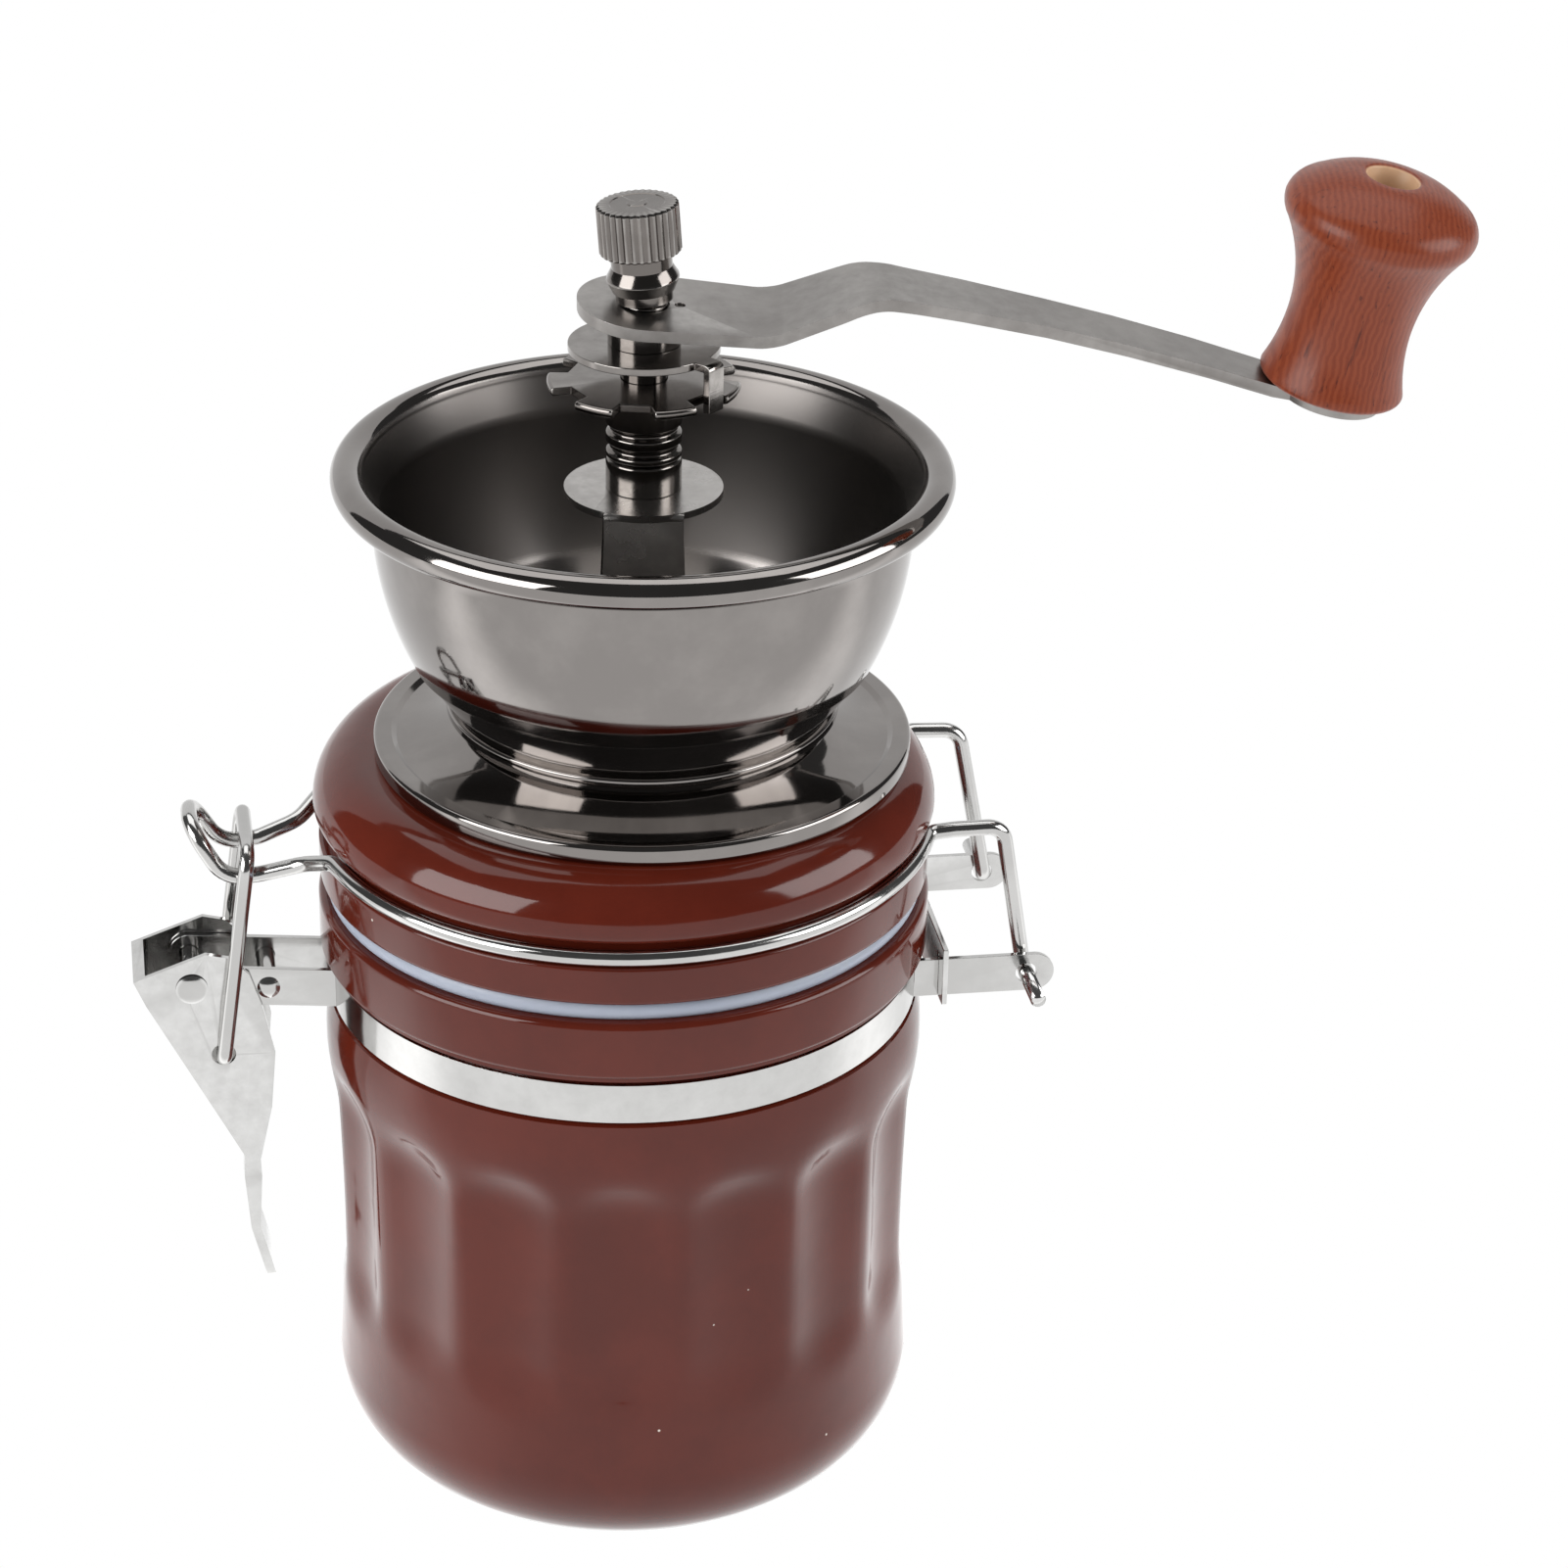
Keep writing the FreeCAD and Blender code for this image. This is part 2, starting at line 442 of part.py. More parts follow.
# Jar: a turned shell with shallow flutes round its waist
def make_jar():
    body = turned("jar", [
        ("0", "0"), ("foot_radius", "0"), ("jar_radius", "corner_radius", "corner_radius", "left"),
        ("shoulder_radius", "shoulder_height", "waist_bend", "right"),
        ("shoulder_radius - shoulder_edge", "strap_bottom - shoulder_edge_drop", "shoulder_bend",
         "left"),
        ("strap_radius - strap_gap", "strap_bottom - strap_groove_margin"),
        ("strap_radius - strap_gap", "strap_top + strap_groove_margin"),
        ("shoulder_radius - collar_root", "strap_top + collar_round"),
        ("shoulder_radius - collar_root", "collar_bottom"),
        ("collar_radius", "collar_bottom + collar_round", "collar_round", "left"),
        ("collar_radius", "jar_height - lip_round"),
        ("collar_radius - lip_round", "jar_height", "lip_round", "left"),
        ("mouth_radius + lip_round", "jar_height"),
        ("mouth_radius", "jar_height - lip_round", "lip_round", "left"),
        ("mouth_radius", "collar_bottom"), ("jar_inner_radius", "strap_bottom"),
        ("jar_inner_radius", "jar_floor + jar_inner_round"),
        ("jar_inner_radius - jar_inner_round", "jar_floor", "jar_inner_round", "right"),
        ("0", "jar_floor")])
    axis = "flute_floor + flute_radius"
    groove = body.newObject("PartDesign::Groove", "flute")
    edge = "flute_floor + flute_end_depth"
    rise = "sqrt(flute_end_round^2 - (flute_end_round - flute_end_depth)^2)"
    groove.Profile = new_sketch(body, "XZ_Plane", [
        (axis, "flute_top + " + rise), (edge, "flute_top + " + rise),
        ("flute_floor", "flute_top", "flute_end_round", "left"), ("flute_floor", "flute_bottom"),
        (edge, "flute_bottom - " + rise, "flute_end_round", "left"), (axis, "flute_bottom - " + rise)])
    groove.ReferenceAxis = (groove.Profile[0], ["Edge6"])
    groove.Angle = 360
    round_the_axis(body, groove, "flute_count")
    body.Placement = Placement(Vector(), Rotation(Vector(0, 0, 1), number("flute_turn")))
    bind(body, "Placement.Rotation.Angle", "flute_turn")
    return keep("jar_body", body)


# One half of the strap, from the clasp ear round the jar to the hinge ear; side is -1 in front, 1 behind
def make_strap(name, side):
    inner, outer = "strap_radius", "(strap_radius + sheet)"
    clasp_in, clasp_out = "clasp_ear_half_gap", "(clasp_ear_half_gap + sheet)"
    hinge_in = "(hinge_ear_half_gap %s hinge_shift)" % ("+" if side > 0 else "-")
    hinge_out = "(%s + sheet)" % hinge_in
    clasp_end, hinge_end = "(pivot_x - ear_radius)", "(hinge_x + ear_over + ear_radius)"

    def along(radius, across):
        return "sqrt(%s^2 - %s^2)" % (radius, across)

    sign = "" if side > 0 else "-"
    turn_out, turn_in = ("right", "left") if side > 0 else ("left", "right")
    plan = slab(name + "_plan", "XY_Plane", [
        (clasp_end, sign + clasp_in), ("-" + along(inner, clasp_in), sign + clasp_in),
        (along(inner, hinge_in), sign + hinge_in, inner, turn_out), (hinge_end, sign + hinge_in),
        (hinge_end, sign + hinge_out), (along(outer, hinge_out), sign + hinge_out),
        ("-" + along(outer, clasp_out), sign + clasp_out, outer, turn_in),
        (clasp_end, sign + clasp_out)], "strap_bottom - strap_plan_below",
        "strap_top + strap_plan_above")
    side_view = slab(name + "_side", "XZ_Plane", [
        ("pivot_x", "pivot_z - ear_radius"), ("-strap_radius", "strap_bottom"),
        ("retainer_x", "strap_bottom"),
        ("hinge_x + ear_over", "hinge_z - ear_radius"),
        ("hinge_x + ear_over + ear_radius", "hinge_z", "ear_radius", "left"),
        ("hinge_x + ear_over", "hinge_z + ear_radius", "ear_radius", "left"),
        ("retainer_x", "strap_top"), ("-strap_radius", "strap_top"),
        ("pivot_x", "pivot_z + ear_radius"), ("pivot_x - ear_radius", "pivot_z", "ear_radius", "left")],
        "-strap_radius - strap_plan_above", "strap_radius + strap_plan_above",
        (("pivot_x", "pivot_z", "rivet_radius + pin_clearance"),
         ("hinge_x", "hinge_z", "bail_wire + pin_clearance"),
         ("spacer_x", "spacer_z", "rivet_radius + fit_gap")))
    return keep(name, shared(name, plan, side_view))


def make_hinge_retainer():
    slot_low, slot_high = "hinge_ear_half_gap - strap_gap", "hinge_ear_half_gap + sheet + strap_gap"
    body = slab("retainer", "YZ_Plane", [
        ("hinge_shift - retainer_half_width", "retainer_bottom"),
        ("hinge_shift + retainer_half_width", "retainer_bottom"),
        ("hinge_shift + retainer_half_width", "retainer_top"),
        ("hinge_shift - retainer_half_width", "retainer_top")], "retainer_x", "retainer_x + sheet")
    for sign in ("+", "-"):
        low, high = ("hinge_shift %s (%s)" % (sign, edge) for edge in (slot_low, slot_high))
        pocket(body, "YZ_Plane", [
            (low, "strap_bottom - strap_gap"), (high, "strap_bottom - strap_gap"),
            (high, "strap_top + retainer_slot_rise"), (low, "strap_top + retainer_slot_rise")],
            "retainer_x - beyond", "retainer_x + sheet + beyond")
    return keep("hinge_retainer", body)


def make_rivet(name, x, z, shank, head, inside, outside):
    """A rivet along Y whose heads lie outside the given half width."""
    tall = "(rivet_head_height)"
    front = "-(%s)" % outside
    pieces = [rod(name + "_shank", shank, front, outside, x, z, "Y"),
              rod(name + "_head_back", head, outside, "%s + %s" % (outside, tall), x, z, "Y"),
              rod(name + "_head_front", head, "%s - %s" % (front, tall), front, x, z, "Y")]
    if inside:
        pieces.append(rod(name + "_spacer", head, "-(%s)" % inside, inside, x, z, "Y"))
    return keep(name, joined(name, pieces))


# Clasp lever: a folded channel open towards the jar, a neck, and a tab turned square to it
def make_clasp_lever():
    wide, inner = "lever_half_width", "lever_half_width - lever_sheet"
    body = slab("lever", "XZ_Plane", [
        ("pivot_x - lever_nose", "pivot_z + lever_nose_rise"),
        ("pivot_x - lever_heel", "pivot_z - lever_heel_drop"),
        ("pivot_x + lever_back", "pivot_z - lever_back_drop"),
        ("pivot_x + lever_neck_in", "pivot_z - lever_neck_drop"),
        ("pivot_x + lever_neck_out", "pivot_z - lever_neck_drop"),
        ("pivot_x + lever_belly_low", "pivot_z - lever_belly_low_drop"),
        ("pivot_x + lever_belly", "pivot_z - lever_belly_drop"),
        ("pivot_x + lever_belly_high", "pivot_z - lever_belly_high_drop"),
        ("pivot_x + lever_shoulder", "pivot_z - lever_shoulder_drop"),
        ("pivot_x + lever_brow", "pivot_z + lever_brow_rise"),
        ("pivot_x - lever_crown", "pivot_z + lever_crown_rise")],
        "-" + wide, wide, (("pivot_x", "pivot_z", "rivet_radius + pin_clearance"),
                           ("loop_hole_x", "loop_hole_z", "loop_wire + pin_clearance")))
    pocket(body, "XZ_Plane", [
        ("pivot_x - lever_nose + lever_wall", "pivot_z + lever_crown_rise + beyond"),
        ("pivot_x - lever_heel + lever_wall", "pivot_z - lever_heel_drop"),
        ("pivot_x + lever_back + lever_wall", "pivot_z - lever_back_drop"),
        ("pivot_x + lever_neck_in + lever_wall", "pivot_z - lever_neck_drop + lever_wall"),
        ("pivot_x + lever_open", "pivot_z - lever_neck_drop + lever_wall"),
        ("pivot_x + lever_open", "pivot_z + lever_crown_rise + beyond")],
        "-(%s)" % inner, inner)
    neck = body.newObject("PartDesign::AdditiveLoft", "lever_neck")
    tail_in, tail_out = "tail_x - tail_thickness / 2", "tail_x + tail_thickness / 2"
    sections = (
        ("pivot_x + lever_neck_in - lever_neck_lap", "pivot_x + lever_neck_out", "neck_half",
         "pivot_z - lever_neck_drop + neck_overlap"),
        ("tail_x - twist_half", "tail_x + twist_half", "twist_width", "tail_top + twist_rise"),
        (tail_in, tail_out, "tail_width / 2", "tail_top - tail_full_drop"),
        (tail_in + " + tail_lean", tail_out + " + tail_lean", "tail_width / 2",
         "tail_bottom + tail_tip_rise"),
        (tail_in + " + tail_lean", tail_out + " + tail_lean", "tail_width / 2 - tail_tip_inset",
         "tail_bottom"))
    drawn = [new_sketch(body, "XY_Plane", [(low, "-(%s)" % half), (high, "-(%s)" % half),
                                          (high, half), (low, half)], height)
             for low, high, half, height in sections]
    neck.Profile = drawn[0]
    neck.Sections = drawn[1:]
    neck.Ruled = True
    body.Tip = neck
    return keep("clasp_lever", body)


def make_clasp_loop():
    end = "lever_half_width - lever_sheet - loop_end_gap"
    hook = number("loop_hook_bend")
    corners = [(at("loop_hole_x", "-(%s)" % end, "loop_hole_z"), 0),
               (at("loop_hole_x", "-loop_half_width", "loop_hole_z"), hook),
               (at("loop_bar_x", "-loop_half_width", "loop_bar_z"), number("loop_corner")),
               (at("loop_bar_x", "loop_half_width", "loop_bar_z"), number("loop_corner")),
               (at("loop_hole_x", "loop_half_width", "loop_hole_z"), hook),
               (at("loop_hole_x", end, "loop_hole_z"), 0)]
    return keep("clasp_loop", fixed_shape("loop", swept(bent_path(corners), number("loop_wire"))))


# Bail: one wire, from a hinge pin up over the lid's edge, round the lid, and out to the tongue
def bail_half(side):
    """The wire's corners on one side, from the hinge pin to the tongue's tip; side is -1 in front."""
    radius, height = number("bail_radius"), number("bail_height")
    root = math.radians(number("bail_root_angle") + side * number("bail_root_turn"))
    leave = -math.radians(number("bail_leave_angle"))
    count = 3
    step = (leave - root) / count
    off = "%d * hinge_shift" % side
    legs = (("hinge_x", "hinge_ear_half_gap + sheet + bail_pin + " + off, "hinge_z", "0"),
            ("hinge_x", "bail_leg_y + " + off, "hinge_z", "bail_pin_bend"),
            ("hinge_x - bail_leg_lean", "bail_leg_y + bail_leg_out + " + off,
             "bail_height + bail_leg_rise", "bail_leg_bend"),
            ("hinge_x - bail_top_in", "bail_leg_y + bail_top_out + " + off,
             "bail_height + bail_top_rise", "bail_top_bend"))
    half = [(at(x, y, z), number(bend)) for x, y, z, bend in legs]
    lead = Vector(math.sin(root), -math.cos(root), 0)
    start = Vector(radius * math.cos(root), radius * math.sin(root), height)
    half.append((start + lead * number("bail_lead"), number("bail_lead_bend")))
    for i in range(count):
        angle = root + (i + 0.5) * step
        far = radius / math.cos(step / 2)
        half.append((Vector(far * math.cos(angle), far * math.sin(angle), height), radius))
    last = Vector(radius * math.cos(leave), radius * math.sin(leave), height)
    onward = Vector(-math.sin(leave), math.cos(leave), 0)
    half.append((last + onward * number("bail_leave"), number("bail_leave_bend")))
    tongue = (("loop_bar_x + tongue_root", "tongue_root_half", "bail_height - tongue_root_drop",
               "tongue_root_bend"),
              ("loop_bar_x + tongue_neck", "tongue_neck_half", "loop_bar_z - tongue_neck_drop",
               "tongue_neck_bend"),
              ("loop_bar_x - tongue_dip", "tongue_dip_half", "loop_bar_z - tongue_dip_drop",
               "tongue_dip_bend"),
              ("loop_bar_x - tongue_tip", "tongue_tip_half", "loop_bar_z + tongue_tip_rise",
               "tongue_tip_bend"))
    half += [(at(x, y, z), number(bend)) for x, y, z, bend in tongue]
    return [(Vector(point.x, point.y * side, point.z), bend) for point, bend in half]


def make_lid_bail():
    corners = bail_half(-1) + bail_half(1)[::-1]
    return keep("lid_bail", fixed_shape("bail", swept(bent_path(corners), number("bail_wire"))))


def make_gasket():
    low, high = "jar_height", "(jar_height + gasket_thickness)"
    return keep("lid_gasket", turned("gasket", [
        ("spigot_radius + seat_gap", low), ("gasket_radius", low),
        ("gasket_radius", high, "gasket_bulge", "left"), ("spigot_radius + seat_gap", high)]))


# Lid: a turned glazed body with a spigot, a bail groove and a recess for the mill's flange
def make_lid():
    low = "(jar_height + gasket_thickness)"
    blank = turned("lid_blank", [
        ("spigot_radius", "spigot_bottom"), ("spigot_radius", low),
        ("lid_ring_radius - lid_ring_round", low),
        ("lid_ring_radius", low + " + lid_ring_round", "lid_ring_round", "left"),
        ("lid_ring_radius", "lid_ring_top - lid_groove_round"),
        ("lid_ring_radius - lid_groove_round", "lid_ring_top", "lid_groove_round", "left"),
        ("bail_groove_floor", "lid_ring_top"), ("bail_groove_floor", "bulge_bottom"),
        ("lid_radius - bulge_inset", "bulge_bottom + bulge_rise"),
        ("lid_radius", "lid_top - lid_round", "bulge_bend", "left"),
        ("lid_radius - lid_round", "lid_top", "lid_round", "left"), ("lid_bore", "lid_top"),
        ("lid_bore", "recess_top"), ("recess_radius", "recess_top"), ("recess_radius", "spigot_bottom")])
    low, high = "recess_top - beyond", "lid_top + beyond"
    mill_bore = on_mill(rod("lid_bore_tool", "lid_bore", low, high))
    holes = [mill_bore] + on_screw_circle("lid_hole", "screw_radius + screw_lid_play", low, high)
    recess = on_mill(rod("lid_recess_tool", "recess_radius", "spigot_bottom - beyond", "recess_top"))
    return keep("lid", cut("lid_cut", blank, holes + [recess]))


def on_screw_circle(label, radius, low, high, circle="screw_circle", count=None, first=30.0):
    """Rods on a circle about the mill's axis."""
    rods = []
    for i in range(count or int(number("screw_count"))):
        angle = "(%s + %s * 360 / %s + mill_turn)" % (first, i, count or "screw_count")
        rods.append(rod("%s_%d" % (label, i + 1), radius, low, high,
                        "mill_shift * cos(mill_turn) + %s * cos(%s)" % (circle, angle),
                        "mill_shift * sin(mill_turn) + %s * sin(%s)" % (circle, angle)))
    return rods


# Hopper: a plated base ring, and a bowl with a rolled rim standing on it
def make_hopper_base():
    rim = "(lid_top + base_rim_height)"
    ring = on_mill(turned("base_ring", [
        ("throat_radius", "lid_top"), ("base_radius - base_round", "lid_top"),
        ("base_radius", "lid_top + base_round", "base_round", "left"),
        ("base_radius", rim + " - base_round"),
        ("base_radius - base_round", rim, "base_round", "left"), ("base_radius - base_flat", rim),
        ("base_radius - base_flat - base_slope", rim + " - base_dip"),
        ("neck_radius", rim + " + cone_rise", "cone_bend", "right"),
        ("neck_radius", "lid_top + neck_height"), ("bead_radius", "lid_top + neck_height"),
        ("bead_radius", "lid_top + base_height"), ("throat_radius", "lid_top + base_height")]))
    holes = on_screw_circle("base_hole", "screw_radius + fit_gap", "lid_top - beyond",
                            "lid_top + screw_reach")
    return keep("hopper_base", cut("base_cut", ring, holes))


def make_hopper_bowl():
    seat = "(lid_top + base_height)"
    slant = "(bead_radius - bowl_foot_in)"
    return keep("hopper_bowl", on_mill(turned("bowl", [
        ("throat_radius", seat), (slant, seat),
        ("bowl_low_radius - bowl_low_lip", "bowl_low_height - bowl_low_lip"),
        ("bowl_low_radius", "bowl_low_height", "bowl_low_bend", "left"),
        ("bowl_high_radius", "bowl_high_height", "bowl_bend", "left"),
        ("rim_radius - rim_wire * cos(rim_start_angle)", "rim_height - rim_wire * sin(rim_start_angle)"),
        ("rim_radius", "rim_height - rim_wire", "rim_wire", "left"),
        ("rim_radius + rim_wire", "rim_height", "rim_wire", "left"),
        ("rim_radius", "rim_height + rim_wire", "rim_wire", "left"),
        ("rim_radius - rim_wire", "rim_height", "rim_wire", "left"),
        ("bowl_high_radius - bowl_sheet", "bowl_high_height"),
        ("bowl_low_radius - bowl_sheet", "bowl_low_height", "bowl_bend - bowl_sheet", "right"),
        (slant + " - bowl_sheet", seat + " + bowl_sheet"), ("throat_radius", seat + " + bowl_sheet")])))


# Burr housing: a cast cup with a flange under the lid and a collar through the lid's bore
def make_burr_housing():
    collar_top = "(lid_top - seat_gap)"
    flange_top = "(recess_top - seat_gap)"
    shell = on_mill(turned("housing", [
        ("housing_bore", "housing_bottom"), ("housing_radius", "housing_bottom"),
        ("housing_radius", flange_top + " - housing_flange"),
        ("housing_flange_radius", flange_top + " - housing_flange"),
        ("housing_flange_radius", flange_top), ("lid_bore - housing_collar_gap", flange_top),
        ("lid_bore - housing_collar_gap", collar_top), ("collar_bore", collar_top),
        ("collar_bore", flange_top), ("housing_bore", flange_top + " - housing_cone")]))
    holes = on_screw_circle("housing_hole", "screw_radius + screw_play", "recess_top - housing_cone",
                            "recess_top + beyond")
    holes += on_screw_circle("foot_hole", "bridge_screw + fit_gap", "lid_top - bridge_screw_bore",
                             "lid_top + beyond", "bridge_screw_circle", 2, 90.0)
    return keep("burr_housing", cut("housing_cut", shell, holes))


def make_mounting_screws():
    head_top = "(recess_top - seat_gap - housing_flange)"
    shanks = on_screw_circle("screw_shank", "screw_radius", head_top,
                             "lid_top + screw_reach - screw_end_gap")
    heads = on_screw_circle("screw_head", "screw_head", head_top + " - screw_head_height", head_top)
    screws = [joined("mounting_screw_%d" % (i + 1), pair) for i, pair in enumerate(zip(shanks, heads))]
    return keep("mounting_screws", set_of("screws", screws))


def make_bearing_spider():
    low, high = "housing_bottom", "housing_bottom + spider_height"
    rim = turned("spider_rim", [
        ("housing_bore - fit_gap - spider_rim", low), ("housing_bore - fit_gap", low),
        ("housing_bore - fit_gap", high), ("housing_bore - fit_gap - spider_rim", high)])
    hub = rod("spider_hub_blank", "spider_hub", low, high)
    spoke_end = "housing_bore - spider_rim + spoke_reach"
    spokes = []
    for i in range(3):
        angle = i * 120 + 30
        spoke = slab("spoke_%d" % (i + 1), "XY_Plane", [
            ("0", "-spoke_width / 2"), (spoke_end, "-spoke_width / 2"), (spoke_end, "spoke_width / 2"),
            ("0", "spoke_width / 2")], low, high)
        spoke.Placement = Placement(Vector(), Rotation(Vector(0, 0, 1), angle))
        spokes.append(spoke)
    blank = joined("spider_blank", [rim, hub] + spokes)
    bore = rod("spider_bore", "shaft_radius + pin_clearance", low + " - beyond", high + " + beyond")
    return keep("bearing_spider", on_mill(cut("spider_cut", blank, [bore])))


def make_outer_burr():
    body = turned("outer_ring", [
        ("burr_low_radius", "burr_bottom"), ("housing_bore - fit_gap", "burr_bottom"),
        ("housing_bore - fit_gap", "burr_bottom + burr_height"),
        ("burr_high_radius", "burr_bottom + burr_height")])
    return keep("outer_burr", on_mill(body))


# Inner burr: a cone on the shaft with slanted grinding grooves
def make_inner_burr():
    cone = turned("burr_cone", [
        ("shaft_radius + fit_gap", "burr_bottom - burr_lip"),
        ("burr_low_radius - burr_gap", "burr_bottom - burr_lip"),
        ("burr_low_radius - burr_gap", "burr_bottom"),
        ("burr_high_radius - burr_gap", "burr_bottom + burr_height"),
        ("burr_high_radius - burr_gap - burr_nose", "burr_bottom + burr_height + burr_nose_height"),
        ("shaft_radius + fit_gap", "burr_bottom + burr_height + burr_nose_height")])
    slope = number("atan((burr_low_radius - burr_high_radius) / burr_height)")
    grooves = []
    for i in range(int(number("burr_tooth_count"))):
        angle = i * 360 / int(number("burr_tooth_count"))
        groove = doc.addObject("Part::Cylinder", "burr_groove_%d" % (i + 1))
        bind(groove, "Radius", "burr_tooth_radius")
        bind(groove, "Height", "burr_height * 1.5")
        lean = Rotation(Vector(0, 1, 0), -slope) * Rotation(Vector(1, 0, 0), number("burr_tooth_lean"))
        spin = Rotation(Vector(0, 0, 1), angle)
        foot = at("burr_low_radius - burr_gap + burr_tooth_out", "burr_tooth_side",
                  "burr_bottom - burr_tooth_drop")
        groove.Placement = Placement(spin.multVec(foot), spin * lean)
        grooves.append(groove)
    return keep("inner_burr", on_mill(cut("burr_cut", cone, grooves)))


# Bridge: an upturned bracket, a disc on top and two legs that spread down to the housing's collar
def make_bearing_bridge():
    top, under = "bridge_top", "(bridge_top - bridge_sheet)"
    foot, foot_top = "(lid_top - seat_gap)", "(lid_top - seat_gap + bridge_sheet)"
    out, shoulder = "bridge_leg_out", "bridge_shoulder"
    strip = slab("bridge_strip", "YZ_Plane", [
        ("-bridge_foot_in", foot), ("-bridge_foot_in", foot_top), ("-%s + bridge_sheet" % out, foot_top),
        ("-" + shoulder, under), (shoulder, under), ("%s - bridge_sheet" % out, foot_top),
        ("bridge_foot_in", foot_top), ("bridge_foot_in", foot), (out, foot), (out, foot_top),
        (shoulder + " + bridge_sheet", under), (shoulder, top, "bridge_sheet", "left"),
        ("-" + shoulder, top), ("-%s - bridge_sheet" % shoulder, under, "bridge_sheet", "left"),
        ("-" + out, foot_top), ("-" + out, foot)], "-bridge_foot_width / 2", "bridge_foot_width / 2")
    front = slab("bridge_front", "XZ_Plane", [
        ("-bridge_foot_width / 2", foot), ("bridge_foot_width / 2", foot),
        ("bridge_width / 2", "bridge_top - bridge_neck_drop"),
        ("bridge_width / 2", "bridge_top + beyond"), ("-bridge_width / 2", "bridge_top + beyond"),
        ("-bridge_width / 2", "bridge_top - bridge_neck_drop")], "-base_radius", "base_radius")
    legs = shared("bridge_legs", strip, front)
    disc = rod("bridge_plate", "bridge_disc", under, top)
    blank = joined("bridge_blank", [legs, disc])
    tools = [rod("bridge_bore", "bushing_tail + fit_gap", "bridge_top - bridge_bore_depth",
                 "bridge_top + beyond")]
    for side in (-1, 1):
        tools.append(rod("bridge_hole_%d" % side, "bridge_screw + fit_gap",
                         "lid_top - bridge_bore_depth", "lid_top + bridge_bore_depth",
                         "0", "%d * bridge_screw_circle" % side))
    return keep("bearing_bridge", on_mill(cut("bridge_cut", blank, tools)))


def make_bridge_screws():
    foot_top = "(lid_top - seat_gap + bridge_sheet)"
    shanks = on_screw_circle("foot_screw_shank", "bridge_screw", "lid_top - bridge_screw_length",
                             foot_top, "bridge_screw_circle", 2, 90.0)
    heads = on_screw_circle("foot_screw_head", "bridge_screw_head", foot_top,
                            foot_top + " + bridge_screw_head_height", "bridge_screw_circle", 2, 90.0)
    screws = [joined("bridge_screw_%d" % (i + 1), pair) for i, pair in enumerate(zip(shanks, heads))]
    return keep("bridge_screws", set_of("foot_screws", screws))


def make_bushing():
    return keep("bridge_bushing", on_mill(turned("bushing", [
        ("stud_radius + pin_clearance", "bushing_bottom"), ("bushing_tail", "bushing_bottom"),
        ("bushing_tail", "bridge_top"), ("bushing_radius", "bridge_top"),
        ("bushing_radius", "bushing_top - bushing_edge"),
        ("bushing_radius - bushing_edge", "bushing_top"),
        ("stud_radius + pin_clearance", "bushing_top")])))


# Shaft: thin below for the burr, a collar under the spring, a threaded stud above, and a tip for the nut
def make_shaft():
    return keep("main_shaft", on_mill(turned("shaft", [
        ("0", "shaft_bottom"), ("shaft_radius - shaft_end", "shaft_bottom"),
        ("shaft_radius", "shaft_bottom + shaft_end"),
        ("shaft_radius", "stud_bottom - shaft_collar_height"),
        ("shaft_collar", "stud_bottom - shaft_collar_height"),
        ("shaft_collar", "stud_bottom"), ("stud_radius", "stud_bottom"),
        ("stud_radius", "arm_hub_top"), ("tip_radius", "arm_hub_top"), ("tip_radius", "shaft_top"),
        ("0", "shaft_top")])))


def make_thrust_washer():
    low = "housing_bottom - thrust_height"
    return keep("thrust_washer", on_mill(turned("thrust", [
        ("shaft_radius + fit_gap", low), ("spider_hub", low),
        ("spider_hub", "housing_bottom - seat_gap"),
        ("shaft_radius + fit_gap", "housing_bottom - seat_gap")])))


def make_shaft_nut():
    high = "housing_bottom - thrust_height"
    low = high + " - shaft_nut_height"
    bore = rod("nut_bore", "shaft_radius + fit_gap", low + " - beyond", high + " + beyond")
    blank = hexagon("nut_hexagon", "shaft_nut_radius", low, high)
    return keep("shaft_nut", on_mill(cut("nut_cut", blank, [bore])))


# Spring: one round tube on a helix, each half turn a pair of tangent arcs
def helix_arcs(radius, low, high, turns):
    pitch = (high - low) / turns
    slope = pitch / (2 * math.pi)
    half_turns = int(2 * turns)

    def spot(angle):
        return Vector(radius * math.cos(angle), radius * math.sin(angle), low + slope * angle)

    def heading(angle):
        return Vector(-radius * math.sin(angle), radius * math.cos(angle), slope).normalize()

    def arc(start, along, end):
        chord = end - start
        bend = along.getAngle(chord)
        side = (along - chord.normalize() * math.cos(bend)).normalize()
        top = start + chord * 0.5 + side * (chord.Length / 2 * math.tan(bend / 2))
        return Part.Arc(start, top, end).toShape()

    edges = []
    for i in range(half_turns * 2):
        first, last = i * math.pi / 2, (i + 1) * math.pi / 2
        p, q, u, v = spot(first), spot(last), heading(first), heading(last)
        between, both = q - p, u + v
        flat = 2 * (1 - u.dot(v))
        lean = between.dot(both)
        reach = (-lean + math.sqrt(lean ** 2 + flat * between.dot(between))) / flat
        middle = (p + u * reach + q - v * reach) * 0.5
        edges.append(arc(p, u, middle))
        back = arc(q, v * -1, middle)
        halfway = back.valueAt((back.FirstParameter + back.LastParameter) / 2)
        edges.append(Part.Arc(middle, halfway, q).toShape())
    wire = number("spring_wire")
    run = 2 * wire
    edges.insert(0, Part.makeLine(spot(0) - heading(0) * run, spot(0)))
    top = half_turns * math.pi
    edges.append(Part.makeLine(spot(top), spot(top) + heading(top) * run))
    return Part.Wire(edges), pitch


